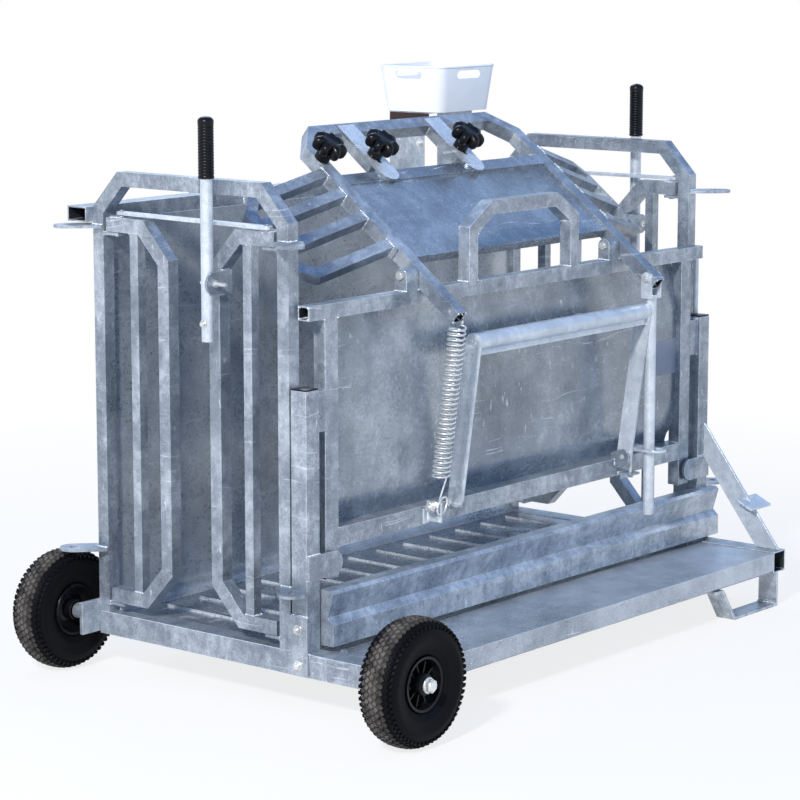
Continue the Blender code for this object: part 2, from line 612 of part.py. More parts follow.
def tray_pieces(steel, plastic, crate):
    bracket = Piece("tray_bracket", steel)
    thick = BRACKET_THICK
    left, right = TRAY_LOW[0] + 0.020, TRAY_HIGH[0] - 0.020
    low, high = FAR_RAIL_LOW + RAIL_THICK + GAP, TRAY_BOTTOM - GAP
    middle = POST_OUT + GAP + RAIL_DEEP / 2
    inner, outer = middle - BRACKET_WIDTH / 2, middle + BRACKET_WIDTH / 2
    half = thick / 2
    line = [(left - 0.022, low + half), (left, low + half), (left, high - half), (right, high - half),
            (right, low + half), (right + 0.022, low + half)]
    bracket.tube(line, thick, outer - inner, along_y(outer))
    bracket.box((left, inner - 0.018, high - thick), (right, outer, high))
    bracket.make(crate)

    centre = Vector(((TRAY_LOW[0] + TRAY_HIGH[0]) / 2, (TRAY_LOW[1] + TRAY_HIGH[1]) / 2, TRAY_BOTTOM))
    tray = Piece("tray", plastic, centre)
    size = Vector((TRAY_HIGH[0] - TRAY_LOW[0], TRAY_HIGH[1] - TRAY_LOW[1]))

    def tub(bottom, top, inset, cut):
        """Tapered solid with rounded corners between two heights."""
        shape = bmesh.new()
        rings = []
        for z in (bottom, top):
            shrink = inset + TRAY_TAPER * (TRAY_RIM - z) / (TRAY_RIM - TRAY_BOTTOM)
            half_x, half_y = size.x / 2 - shrink, size.y / 2 - shrink
            corner = 0.028
            ring = []
            for turn, sx, sy in ((0, 1, 1), (90, -1, 1), (180, -1, -1), (270, 1, -1)):
                ring += arc((sx * (half_x - corner), sy * (half_y - corner)), corner, turn, turn + 90, 5)
            rings.append([shape.verts.new((centre.x + x, centre.y + y, z)) for x, y in ring])
        low_ring, high_ring = rings
        for i in range(len(low_ring)):
            shape.faces.new((low_ring[i - 1], low_ring[i], high_ring[i], high_ring[i - 1]))
        shape.faces.new(low_ring[::-1])
        shape.faces.new(high_ring)
        tray.add(shape, cut)

    tub(TRAY_BOTTOM, TRAY_RIM, 0, False)
    tub(TRAY_BOTTOM + TRAY_WALL, TRAY_RIM + 0.01, TRAY_WALL, True)
    slot_low, slot_high = TRAY_RIM - TRAY_SLOT[0], TRAY_RIM - TRAY_SLOT[1]
    radius = (slot_high - slot_low) / 2
    walls = (along_y(centre.y + 0.2), along_x(centre.x - 0.2))
    for across, place in zip(TRAY_SLOT_HALF, walls):
        middle = centre.x if place[0][0] == 1 else centre.y
        slot = arc((middle + across, slot_low + radius), radius, -90, 90, 8)
        slot += arc((middle - across, slot_low + radius), radius, 90, 270, 8)
        tray.plate(slot, 0.4, place, cut=True)
    tray.make(crate)


# ---------------------------------------------------------------- gates
def leaf(name, x, hinge_side, out, steel, crate):
    """One gate leaf: a C-shaped frame with an inner bar, hinged at its open side."""
    axis = Vector((x + TUBE / 2, hinge_side * LEAF_HINGE_Y, 0))
    wing = Piece(name, steel, axis)
    half, end = TUBE / 2, LEAF_HINGE_Y + 0.020
    edge, low, high = LEAF_EDGE_Y + half, LEAF_LOW + half, LEAF_HIGH - half
    line = [(end, low), (edge + LEAF_CORNER_RUN, low), (edge, low + LEAF_CORNER_RISE),
            (edge, high - LEAF_CORNER_RISE), (edge + LEAF_CORNER_RUN, high), (end, high)]
    wing.tube([(hinge_side * y, z) for y, z in line], TUBE, TUBE, along_x(x))
    bar = sorted((hinge_side * (LEAF_BAR_Y - LEAF_BAR / 2), hinge_side * (LEAF_BAR_Y + LEAF_BAR / 2)))
    inset = (TUBE - LEAF_BAR) / 2
    wing.box((x + inset, bar[0], LEAF_LOW + 0.005), (x + TUBE - inset, bar[1], LEAF_HIGH - 0.005))
    for z in (LEAF_LOW, LEAF_HIGH - TUBE):
        wing.rod((axis.x, axis.y, z - RUNNING_PLAY - HINGE_LUG - 0.003), (axis.x, axis.y, z + 0.005),
                 HINGE_PIN_RADIUS)
    crank_x = axis.x - hinge_side * out * CRANK
    crank = rounded_bar((axis.x + hinge_side * out * 0.012, axis.y), (crank_x, axis.y), 0.018)
    wing.plate(crank, LINK_LOW - GAP - LEAF_HIGH + 0.002, along_z(LEAF_HIGH - 0.002))
    wing.rod((crank_x, axis.y, LEAF_HIGH), (crank_x, axis.y, LINK_LOW + LINK_THICK + 0.003), CRANK_PIN_RADIUS)
    if hinge_side < 0:
        outer = x if out < 0 else x + TUBE
        plate_y = LEVER_Y - LEVER_RADIUS - RUNNING_PLAY
        block = sorted((outer, outer - out * 0.024))
        wing.box((block[0], plate_y - 0.005, 0.842), (block[1], -LEAF_EDGE_Y - TUBE + 0.002, 0.892))
        ear = rounded_bar((outer - out * 0.022, LEVER_PIVOT_Z), (outer + out * LEVER_OUT, LEVER_PIVOT_Z), 0.046)
        wing.plate(ear, 0.005, along_y(plate_y))
        wing.rod((outer + out * LEVER_OUT, plate_y + 0.01, LEVER_PIVOT_Z),
                 (outer + out * LEVER_OUT, plate_y - 0.01, LEVER_PIVOT_Z), LEVER_BOLT_RADIUS + GAP, cut=True)
    wing.make(crate)


def gate(end, x, out, steel, zinc, plastic, crate):
    """Both leaves of one gate, the link that ties them and the hand lever."""
    leaf(f"{end}_leaf_far", x, 1, out, steel, crate)
    leaf(f"{end}_leaf_near", x, -1, out, steel, crate)
    middle = x + TUBE / 2
    far_eye = Vector((middle - out * CRANK, LEAF_HINGE_Y))
    near_eye = Vector((middle + out * CRANK, -LEAF_HINGE_Y))
    link = Piece(f"{end}_gate_link", steel, (*far_eye, 0))
    run = (far_eye - near_eye).normalized()
    side = Vector((-run.y, run.x)) * LINK_WIDTH / 2
    heading = math.degrees(math.atan2(run.y, run.x))
    bar = [*arc(far_eye, LINK_WIDTH / 2, heading - 90, heading + 90, 10),
           *arc(near_eye, LINK_WIDTH / 2, heading + 90, heading + 270, 10)]
    link.plate(bar, LINK_THICK, along_z(LINK_LOW))
    for eye, play in ((far_eye, HOLE_PLAY), (near_eye, LINK_SLOT_PLAY)):
        link.rod((*eye, LINK_LOW - 0.01), (*eye, LINK_LOW + 0.02), CRANK_PIN_RADIUS + play, cut=True)
    link.make(crate)

    outer = x if out < 0 else x + TUBE
    lever_x = outer + out * LEVER_OUT
    pivot = Vector((lever_x, LEVER_Y, LEVER_PIVOT_Z))
    lever = Piece(f"{end}_lever", steel, pivot)
    lever.rod((lever_x, LEVER_Y, LEVER_LOW), (lever_x, LEVER_Y, GRIP_LOW - GAP), LEVER_RADIUS)
    lever.rod((lever_x, LEVER_Y, GRIP_LOW - 0.01), (lever_x, LEVER_Y, GRIP_HIGH - 0.012), LEVER_RADIUS - 0.001)
    lever.rod(pivot - Vector((0, 0.03, 0)), pivot + Vector((0, 0.03, 0)), LEVER_BOLT_RADIUS + GAP, cut=True)
    lever.make(crate)
    grip = Piece(f"{end}_lever_grip", plastic, pivot)
    grip.rod((lever_x, LEVER_Y, GRIP_LOW), (lever_x, LEVER_Y, GRIP_HIGH), GRIP_RADIUS)
    grip.rod((lever_x, LEVER_Y, GRIP_LOW - 0.01), (lever_x, LEVER_Y, GRIP_HIGH - 0.012 + GAP),
             LEVER_RADIUS - 0.001 + GAP, sides=24, cut=True)
    grip.make(crate)
    plate_y = LEVER_Y - LEVER_RADIUS - RUNNING_PLAY
    bolt = Piece(f"{end}_lever_bolt", zinc)
    head = plate_y - 0.005 - GAP
    bolt.rod((lever_x, head - 0.006, LEVER_PIVOT_Z), (lever_x, head, LEVER_PIVOT_Z), 0.008, sides=6)
    tail = head - 0.006 - LEVER_BOLT_TAIL
    bolt.rod((lever_x, tail, LEVER_PIVOT_Z), (lever_x, LEVER_Y + LEVER_RADIUS + 0.004, LEVER_PIVOT_Z),
             LEVER_BOLT_RADIUS)
    bolt.make(crate)


# ---------------------------------------------------------------- side panel
def side_panel(steel, zinc, crate):
    axis = Vector((0, PANEL_HINGE_Y, PANEL_HINGE_Z))
    panel = Piece("side_panel_frame", steel, axis)
    near, far = RAIL_Y, RAIL_Y + TUBE
    panel.box((RAIL_OVERHANG, near, RAIL_LOW), (LENGTH - RAIL_OVERHANG, far, RAIL_HIGH))
    for x, inward in ((PANEL_START, 1), (PANEL_END - PANEL_BAR, -1)):
        panel.box((x, near, PANEL_LOW), (x + PANEL_BAR, far, RAIL_LOW + 0.001))
        face = x if inward > 0 else x + PANEL_BAR
        panel.rod((face - inward * 0.01, *axis.yz), (face + inward * PANEL_PIN_SEAT, *axis.yz),
                  PANEL_PIN_RADIUS + HOLE_PLAY, cut=True)
    panel.box((PANEL_START + 0.005, near, LOWER_RAIL_LOW),
              (PANEL_END - 0.005, near + LOWER_RAIL, LOWER_RAIL_LOW + LOWER_RAIL))
    half = TUBE / 2
    loop = [(LOOP_START + half, RAIL_HIGH - 0.001), (LOOP_START + half, LOOP_TOP - LOOP_RISE - 0.004),
            (LOOP_START + LOOP_RUN + 0.004, LOOP_TOP - half), (LOOP_END - LOOP_RUN - 0.004, LOOP_TOP - half),
            (LOOP_END - half, LOOP_TOP - LOOP_RISE - 0.004), (LOOP_END - half, RAIL_HIGH - 0.001)]
    panel.tube(loop, TUBE, TUBE, along_y(far))
    bracket = 0.040
    for arm in (ARM_LEFT, ARM_RIGHT - TUBE):
        face = arm - GAP - RUNNING_PLAY
        outline = rounded_bar((PANEL_HINGE_Y, RAIL_HIGH - 0.001), HOOD_PIVOT.yz, TUBE)
        panel.plate(outline, bracket, along_x(face - bracket))
        panel.rod((face - bracket - 0.01, *HOOD_PIVOT.yz), (face + 0.01, *HOOD_PIVOT.yz),
                  PIVOT_RADIUS + HOLE_PLAY, cut=True)
    lug_half = 0.018
    for x in (LEG_LEFT_X + LEG_THICK + RUNNING_PLAY, LEG_RIGHT_X - RUNNING_PLAY - LEG_THICK):
        ear = rounded_bar((near + 0.004, RELEASE_Z - 0.012), (RELEASE_Y, RELEASE_Z), 2 * lug_half)
        panel.plate(ear, LEG_THICK, along_x(x))
        panel.rod((x - 0.01, RELEASE_Y, RELEASE_Z), (x + 0.02, RELEASE_Y, RELEASE_Z),
                  RELEASE_PIN_RADIUS + HOLE_PLAY, cut=True)
    guide_x = ARM_CENTRE_RIGHT + 0.007
    panel.box((guide_x - 0.018, near - 0.036, LOWER_RAIL_LOW + 0.002),
              (guide_x + 0.018, near + 0.003, LOWER_RAIL_LOW + 0.007))
    panel.rod((guide_x, near - 0.022, 0.30), (guide_x, near - 0.022, 0.36), 0.004 + GAP, cut=True)
    bore = 0.003
    for x in (RAIL_OVERHANG, LENGTH - RAIL_OVERHANG):
        depth = 0.045
        panel.box((x - depth, near + bore, RAIL_LOW + bore), (x + depth, far - bore, RAIL_HIGH - bore),
                  cut=True)
    panel.make(crate)

    sheet = Piece("side_panel_sheet", steel, axis)
    top_y, mid_y, low_y = far + GAP + SHEET / 2, PANEL_HINGE_Y - 0.0012, near + LOWER_RAIL + GAP + SHEET / 2
    start, end = PANEL_START + PANEL_BAR + GAP, PANEL_END - PANEL_BAR - GAP
    turns = [math.radians(a) for a in (0, 20, 40, 60, 80)]
    belly = [(mid_y + (low_y - mid_y) * (1 - math.cos(a)), 0.50 - 0.11 * math.sin(a)) for a in turns]
    line = [(top_y, RAIL_HIGH), (top_y, RAIL_LOW - 0.006), (mid_y, 0.69), *belly,
            (low_y, LOWER_RAIL_LOW + LOWER_RAIL + 0.005), (low_y, LOWER_RAIL_LOW + 0.003)]
    sheet.tube(line, SHEET, end - start, along_x(start))
    sheet.make(crate)

    for end_name, arm in (("entry", ARM_LEFT), ("exit", ARM_RIGHT - TUBE)):
        bolt = Piece(f"hood_pivot_bolt_{end_name}", zinc)
        left = arm - RUNNING_PLAY - 2 * GAP - bracket
        right = arm + TUBE + GAP
        y, z = HOOD_PIVOT.yz
        bolt.rod((left - 0.007, y, z), (right + 0.008, y, z), PIVOT_RADIUS)
        bolt.rod((left - 0.006, y, z), (left, y, z), 0.010, sides=6)
        bolt.rod((right, y, z), (right + 0.006, y, z), 0.010, sides=6)
        bolt.make(crate)


def release_bar(steel, crate):
    """Swinging bar: two flat legs and a round crossbar, pivoted on the lower rail."""
    axis = Vector((0, RELEASE_Y, RELEASE_Z))
    bar = Piece("release_bar", steel, axis)
    lean = Vector((-math.sin(RELEASE_LEAN), math.cos(RELEASE_LEAN)))
    reach = (RELEASE_TOP_Z - RELEASE_Z) / lean.y
    top = Vector((RELEASE_Y, RELEASE_Z)) + lean * reach
    start, end = LEG_LEFT_X, LEG_RIGHT_X + LEG_THICK
    bar.rod((start + 0.001, *top), (end - 0.001, *top), CROSSBAR_RADIUS)
    for x in (LEG_LEFT_X, LEG_RIGHT_X):
        low = Vector((RELEASE_Y, RELEASE_Z))
        outline = bar_outline([low, top], LEG_WIDTH)
        bar.plate(outline, LEG_THICK, along_x(x))
        bar.rod((x, *low), (x + LEG_THICK, *low), LEG_WIDTH / 2)
        bar.rod((x, *top), (x + LEG_THICK, *top), LEG_WIDTH / 2)
    pins = ((LEG_LEFT_X, LEG_LEFT_X + 2 * LEG_THICK + 2 * RUNNING_PLAY),
            (LEG_RIGHT_X - LEG_THICK - 2 * RUNNING_PLAY, LEG_RIGHT_X + LEG_THICK))
    for left, right in pins:
        bar.rod((left + 0.001, *axis.yz), (right - 0.001, *axis.yz), RELEASE_PIN_RADIUS, sides=16)
    strip = top - lean * (CROSSBAR_RADIUS + 0.006)
    bar.box((start + 0.002, strip.x - 0.0125, strip.y - 0.003),
            (end - 0.002, strip.x + 0.0125, strip.y + 0.008))
    bar.make(crate)


def lock_plate(steel, zinc, crate):
    """Canted plate that grips the clamp rod, and the bolt that guides it."""
    pivot_y, thick = RAIL_Y - GAP, FLAT
    plate = Piece("lock_plate", steel, (0, pivot_y, LOCK_Z))
    neck_left, neck_right = LEG_RIGHT_X + LEG_THICK + RUNNING_PLAY, ARM_CENTRE_RIGHT + 0.027
    head = 0.026
    shoulder = -0.362
    outline = [(neck_left, pivot_y), (neck_left, shoulder), (ARM_CENTRE_RIGHT - head, shoulder),
               *arc((ARM_CENTRE_RIGHT, LOCK_TIP_Y + head), head, 180, 360, 12),
               (neck_right, pivot_y)]
    plate.plate(outline, thick, along_z(LOCK_Z - thick / 2))
    slot = ROD_RADIUS + RUNNING_PLAY
    hole = arc((ARM_CENTRE_RIGHT, ROD_Y), slot, 0, 180, 10)
    hole += arc((ARM_CENTRE_RIGHT, ROD_Y - LOCK_SLOT), slot, 180, 360, 10)
    plate.plate(hole, 0.1, along_z(LOCK_Z - 0.05), cut=True)
    guide_x, guide_y = ARM_CENTRE_RIGHT + 0.007, RAIL_Y - 0.022
    plate.rod((guide_x, guide_y, LOCK_Z - 0.02), (guide_x, guide_y, LOCK_Z + 0.02),
              0.004 + RUNNING_PLAY, cut=True)
    plate.make(crate)

    bolt = Piece("lock_plate_bolt", zinc)
    low = LOWER_RAIL_LOW + 0.002 - GAP
    bolt.rod((guide_x, guide_y, low - 0.006), (guide_x, guide_y, low), 0.0075, sides=6)
    bolt.rod((guide_x, guide_y, low - 0.001), (guide_x, guide_y, LOCK_Z + 0.022), 0.004, sides=16)
    seat = LOCK_Z - thick / 2 - GAP
    bolt.rod((guide_x, guide_y, seat - 0.006), (guide_x, guide_y, seat), 0.0075, sides=6)
    bolt.rod((guide_x, guide_y, LOCK_Z + 0.014), (guide_x, guide_y, LOCK_Z + 0.020), 0.0075, sides=6)
    bolt.make(crate)


# ---------------------------------------------------------------- hood
def hood_frame(steel, crate):
    hood = Piece("hood_frame", steel, HOOD_PIVOT)
    half = TUBE / 2
    left, right = ARM_LEFT + half, ARM_RIGHT - half
    bend = half * math.tan(math.radians(22.5))
    top = ARM_LENGTH + HOOD_CORNER - half
    line = [(left, 0), (left, ARM_LENGTH - bend), (left + HOOD_CORNER - half + bend, top),
            (right - HOOD_CORNER + half - bend, top), (right, ARM_LENGTH - bend), (right, 0)]
    place = HOOD_PLACE @ along_z(-TUBE)
    hood.tube(line, TUBE, TUBE, place)
    for x in FINGER_X:
        hood.box((x - FINGER / 2, FINGER_LOW_S, -FINGER), (x + FINGER / 2, top, -0.0003), place=HOOD_PLACE)
        hood.rod(HOOD_PLACE @ Vector((x, KNOB_S, -0.02)), HOOD_PLACE @ Vector((x, KNOB_S, 0.01)),
                 STUD_RADIUS + HOLE_PLAY, cut=True)
    hood.rod(HOOD_PLACE @ Vector((left, ARM_KNOB_S, -0.02)), HOOD_PLACE @ Vector((left, ARM_KNOB_S, 0.01)),
             STUD_RADIUS + HOLE_PLAY, cut=True)
    wall, depth = 0.003, 0.014
    for x in (left, right):
        hood.box((x - half + wall, -0.01, -TUBE + wall), (x + half - wall, depth, -wall), cut=True,
                 place=HOOD_PLACE)
        hood.rod((x - 0.03, *HOOD_PIVOT.yz), (x + 0.03, *HOOD_PIVOT.yz), PIVOT_RADIUS + HOLE_PLAY, cut=True)
    hood.rod(ROD_BOLT - Vector((0.03, 0, 0)), ROD_BOLT + Vector((0.03, 0, 0)), 0.005 + HOLE_PLAY, cut=True)
    hood.make(crate)


def hood_sheet(steel, crate):
    """Sloping sheet with its carrier bar and the two slotted adjuster plates."""
    sheet = Piece("hood_sheet", steel, HOOD_PIVOT)
    left, right = ARM_LEFT + TUBE + GAP, ARM_RIGHT - TUBE - GAP
    level = -0.0060
    lip = 0.020
    line = [(SHEET_LOW_S + 0.001, level - lip), (SHEET_LOW_S + 0.001, level), (CARRIER_LOW_S + 0.010, level)]
    sheet.tube(line, SHEET, right - left, HOOD_PLACE @ along_x(left))
    sheet.box((left, CARRIER_LOW_S, -TUBE + 0.002), (right, CARRIER_LOW_S + TUBE, 0.0005), place=HOOD_PLACE)
    for x in FINGER_X:
        high = ARM_LENGTH + HOOD_CORNER - 0.012
        outline = rounded_bar((x, high), (x, CARRIER_LOW_S + 0.022), ADJUSTER_WIDTH)
        sheet.plate(outline, FLAT, HOOD_PLACE @ along_z(GAP))
        radius = STUD_RADIUS + RUNNING_PLAY
        slot = arc((x, KNOB_S), radius, 0, 180, 8) + arc((x, KNOB_S - HOOD_TRAVEL), radius, 180, 360, 8)
        sheet.plate(slot, 0.03, HOOD_PLACE @ along_z(-0.005), cut=True)
    sheet.make(crate)


def wing(end, arm_face, out, steel, crate):
    """Side wing of the hood: four bars, an outer bar and a bolted mounting strip."""
    grid = Piece(f"{end}_wing", steel, HOOD_PIVOT)
    place = HOOD_PLACE @ Matrix.Translation((arm_face, 0, -WING_BAR / 2)) @ Matrix.Rotation(
        out * WING_TILT, 4, "Y") @ along_z(-WING_BAR / 2)
    strip = sorted((arm_face + out * GAP, arm_face + out * (GAP + FLAT)))
    grid.box((strip[0], WING_BARS_S[-1] - 0.022, -TUBE + 0.002), (strip[1], WING_BARS_S[0] + 0.022, -0.001),
             place=HOOD_PLACE)
    near, far = WING_BARS_S[-1], WING_BARS_S[0]
    reach, corner = WING_REACH - WING_BAR / 2, WING_CORNER
    start = -0.004              # inside the arm, so that the cut leaves each bar flush in the strip
    line = [(start, far), (reach - corner, far), (reach, far - corner), (reach, near + corner),
            (reach - corner, near), (start, near)]
    grid.tube([(out * across, s) for across, s in line], WING_BAR, WING_BAR, place)
    for s in WING_BARS_S[1:-1]:
        grid.tube([(out * start, s), (out * reach, s)], WING_BAR, WING_BAR, place)
    away = sorted((arm_face + out * GAP, arm_face - out * 0.05))
    grid.box((away[0], 0, -0.1), (away[1], ARM_LENGTH, 0.1), cut=True, place=HOOD_PLACE)
    grid.make(crate)


def star_knob(name, x, s, base, plastic, crate):
    """Lobed clamping knob with its stud; base is its height above the arm's face."""
    place = HOOD_PLACE @ Matrix.Translation((x, s, base + GAP))
    knob = Piece(name, plastic, place.translation)
    lobes, steps = 7, 7
    outline = []
    for i in range(lobes * steps):
        angle = 2 * math.pi * i / (lobes * steps)
        swell = 0.5 + 0.5 * math.cos(lobes * angle)
        radius = KNOB_RADIUS * (0.80 + 0.20 * swell)
        outline.append((radius * math.cos(angle), radius * math.sin(angle)))
    knob.plate(outline, KNOB_HEIGHT - KNOB_COLLAR, place @ along_z(KNOB_COLLAR))
    knob.rod(place.translation, place @ Vector((0, 0, KNOB_COLLAR + WELD)), KNOB_COLLAR_RADIUS)
    knob.rod(place @ Vector((0, 0, -base - 0.012)), place @ Vector((0, 0, 0.002)), STUD_RADIUS, sides=16)
    knob.make(crate)


def clamp_rod(steel, zinc, crate):
    rod = Piece("clamp_rod", steel, ROD_BOLT)
    x, y, z = ROD_BOLT
    rod.rod((x, y, ROD_LOW), (x, y, z - CLEVIS_DROP + 0.001), ROD_RADIUS)
    bridge, ear = 0.008, 0.0055
    inner = TUBE / 2 + GAP
    rod.box((x - inner - ear, y - 0.014, z - CLEVIS_DROP),
            (x + inner + ear, y + 0.014, z - CLEVIS_DROP + bridge))
    for left in (x - inner - ear, x + inner):
        outline = rounded_bar((y, z - CLEVIS_DROP + 0.001), (y, z), 0.028)
        rod.plate(outline, ear, along_x(left))
    rod.rod((x - 0.04, y, z), (x + 0.04, y, z), 0.005 + HOLE_PLAY, cut=True)
    rod.make(crate)
    bolt = Piece("clamp_rod_bolt", zinc)
    face = inner + ear + GAP
    bolt.rod((x - face - 0.007, y, z), (x + face + 0.007, y, z), 0.005, sides=16)
    for start, end in ((x - face - 0.006, x - face), (x + face, x + face + 0.006)):
        bolt.rod((start, y, z), (end, y, z), 0.009, sides=6)
    bolt.make(crate)


def hood_spring(steel, crate):
    """Return spring as a plain coil body with a straight stem to each hook."""
    anchor = Piece("spring_anchor", steel)
    foot_x, foot_y, foot_z = SPRING_FOOT
    face = RAIL_Y - GAP
    anchor.box((foot_x - 0.016, face - 0.005, LOWER_RAIL_LOW + 0.004),
               (foot_x + 0.016, face, LOWER_RAIL_LOW + LOWER_RAIL - 0.004))
    anchor.box((foot_x - 0.0025, foot_y - 0.010, LOWER_RAIL_LOW + 0.008),
               (foot_x + 0.0025, face - 0.001, foot_z - GAP - 0.001))
    anchor.make(crate)

    spring = Piece("hood_spring", steel, SPRING_FOOT)
    run = (SPRING_TOP - SPRING_FOOT).normalized()
    low, high = SPRING_FOOT + run * SPRING_HOOK, SPRING_TOP - run * SPRING_HOOK
    spring.rod(low, high, SPRING_RADIUS)
    spring.rod(SPRING_FOOT, low + run * 0.001, SPRING_WIRE)
    spring.rod(high - run * 0.001, SPRING_TOP, SPRING_WIRE)
    spring.make(crate)


def main():
    for item in list(bpy.data.objects):
        bpy.data.objects.remove(item, do_unlink=True)
    steel = make_finish("galvanised_steel", (0.50, 0.52, 0.54), 0.45, 0.90)
    zinc = make_finish("bright_zinc", (0.66, 0.67, 0.68), 0.30, 1.00)
    rubber = make_finish("tyre_rubber", (0.030, 0.029, 0.028), 0.85, 0.0)
    black = make_finish("black_plastic", (0.015, 0.015, 0.016), 0.50, 0.0)
    white = make_finish("white_plastic", (0.80, 0.80, 0.78), 0.40, 0.0)
    crate = bpy.data.objects.new("crate", None)
    crate.location = (-ORIGIN_X, -ORIGIN_Y, 0)
    bpy.context.scene.collection.objects.link(crate)

    base_frame(steel, crate)
    floor_tread(steel, crate)
    platform_deck(steel, crate)
    foot("foot_near", -PLATFORM_OUT - 0.0025, steel, crate)
    foot("foot_far", POST_OUT - FOOT_WIDTH, steel, crate)
    wheel("near", NEAR_WHEEL_Y, steel, rubber, black, zinc, crate)
    wheel("far", FAR_WHEEL_Y, steel, rubber, black, zinc, crate)
    gate_frame("entry_gate_frame", 0, -1, steel, crate)
    gate_frame("exit_gate_frame", LENGTH - TUBE, 1, steel, crate)
    column("entry", 0, -1, steel, black, crate)
    column("exit", LENGTH - COLUMN, 1, steel, black, crate)
    toe_rail(steel, crate)
    exit_brace(steel, crate)
    drop_pin(steel, crate)
    far_side(steel, crate)
    tray_pieces(steel, white, crate)
    gate("entry", 0, -1, steel, zinc, black, crate)
    gate("exit", LENGTH - TUBE, 1, steel, zinc, black, crate)
    side_panel(steel, zinc, crate)
    release_bar(steel, crate)
    lock_plate(steel, zinc, crate)
    hood_frame(steel, crate)
    hood_sheet(steel, crate)
    wing("entry", ARM_LEFT, -1, steel, crate)
    wing("exit", ARM_RIGHT, 1, steel, crate)
    star_knob("star_knob_1", ARM_LEFT + TUBE / 2, ARM_KNOB_S, 0, black, crate)
    star_knob("star_knob_2", FINGER_X[0], KNOB_S, FLAT + GAP, black, crate)
    star_knob("star_knob_3", FINGER_X[1], KNOB_S, FLAT + GAP, black, crate)
    clamp_rod(steel, zinc, crate)
    hood_spring(steel, crate)


main()
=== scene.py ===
"""Looks of a wheeled squeeze crate for sheep and goats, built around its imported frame."""
import json
import logging
import math
import random
from dataclasses import dataclass
from enum import Enum
from typing import Any, ClassVar

import bmesh
import bpy
from bmesh.types import BMesh
from bpy.types import Material, Modifier, NodeSocket, Object
from mathutils import Matrix, Vector

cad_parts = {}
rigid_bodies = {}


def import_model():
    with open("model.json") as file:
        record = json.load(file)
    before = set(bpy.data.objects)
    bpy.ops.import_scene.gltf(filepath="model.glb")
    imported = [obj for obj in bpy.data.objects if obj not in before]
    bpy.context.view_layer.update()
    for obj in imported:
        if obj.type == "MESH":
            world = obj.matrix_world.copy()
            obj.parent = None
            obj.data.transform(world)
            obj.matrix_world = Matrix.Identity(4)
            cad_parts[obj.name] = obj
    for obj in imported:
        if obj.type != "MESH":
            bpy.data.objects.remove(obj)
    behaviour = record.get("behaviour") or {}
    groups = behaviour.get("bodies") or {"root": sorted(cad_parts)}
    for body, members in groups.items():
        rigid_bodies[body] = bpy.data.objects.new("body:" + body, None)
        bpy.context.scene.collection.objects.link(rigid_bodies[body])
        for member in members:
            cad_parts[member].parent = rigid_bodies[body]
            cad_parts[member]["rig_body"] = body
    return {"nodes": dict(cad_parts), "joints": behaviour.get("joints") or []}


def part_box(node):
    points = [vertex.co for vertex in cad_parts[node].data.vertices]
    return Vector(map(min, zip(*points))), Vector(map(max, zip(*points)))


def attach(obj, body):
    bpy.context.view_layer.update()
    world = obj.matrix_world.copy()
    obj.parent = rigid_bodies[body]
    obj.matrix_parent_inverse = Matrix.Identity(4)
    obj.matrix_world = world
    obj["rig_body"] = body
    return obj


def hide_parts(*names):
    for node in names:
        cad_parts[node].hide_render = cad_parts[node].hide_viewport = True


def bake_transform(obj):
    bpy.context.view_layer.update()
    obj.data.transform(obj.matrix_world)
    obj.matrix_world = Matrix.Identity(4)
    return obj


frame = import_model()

LOG = logging.getLogger("squeeze_crate")
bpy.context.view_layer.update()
MERGE = 1e-5                       # two corners closer than this are one
SEAT = 0.0001                      # gap under a thin piece that lies on another
NEARLY_PARALLEL = 0.05             # sine under which two directions give no third
FULL_TURN = 2 * math.pi
QUARTERS = ((0, 1, 1), (90, -1, 1), (180, -1, -1), (270, 1, -1))    # turn and signs of a box's four corners


class Slot(Enum):
    """Material slots of the record."""

    STEEL = "galvanised_steel"
    ZINC = "bright_zinc"
    BLACK = "black_plastic"
    RUBBER = "tyre_rubber"
    WHITE = "white_plastic"


class Stock(Enum):
    """Kinds of steel stock, with the width of their rounded edges."""

    TUBE = 0.0026
    FLAT = 0.0009
    SHEET = 0.0006
    ROUND = 0.0005
    BAR = 0.0010


# ---------------------------------------------------------------- shader maths
class Sock:
    """An output socket, or the start of an expression on one."""

    def __init__(self, graph: "Graph", link: NodeSocket) -> None:
        """Keep the graph that the socket belongs to, and the socket."""
        self.graph, self.link = graph, link

    def _math(self, operation: str, first: Any, second: Any) -> "Sock":
        """Add one Math node over two values or sockets."""
        return self.graph.node("ShaderNodeMath", {"operation": operation}, {0: first, 1: second})

    def __add__(self, other: Any) -> "Sock":
        """Return self + other."""
        return self._math("ADD", self, other)

    __radd__ = __add__

    def __mul__(self, other: Any) -> "Sock":
        """Return self * other."""
        return self._math("MULTIPLY", self, other)

    __rmul__ = __mul__

    def __sub__(self, other: Any) -> "Sock":
        """Return self - other."""
        return self._math("SUBTRACT", self, other)

    def __rsub__(self, other: Any) -> "Sock":
        """Return other - self."""
        return self._math("SUBTRACT", other, self)

    def band(self, low: float, high: float, bottom: float = 0.0, top: float = 1.0) -> "Sock":
        """Stretch the values between low and high to bottom and top, clamped."""
        return self.graph.node("ShaderNodeMapRange", {"clamp": True}, {
            "Value": self, "From Min": low, "From Max": high, "To Min": bottom, "To Max": top})


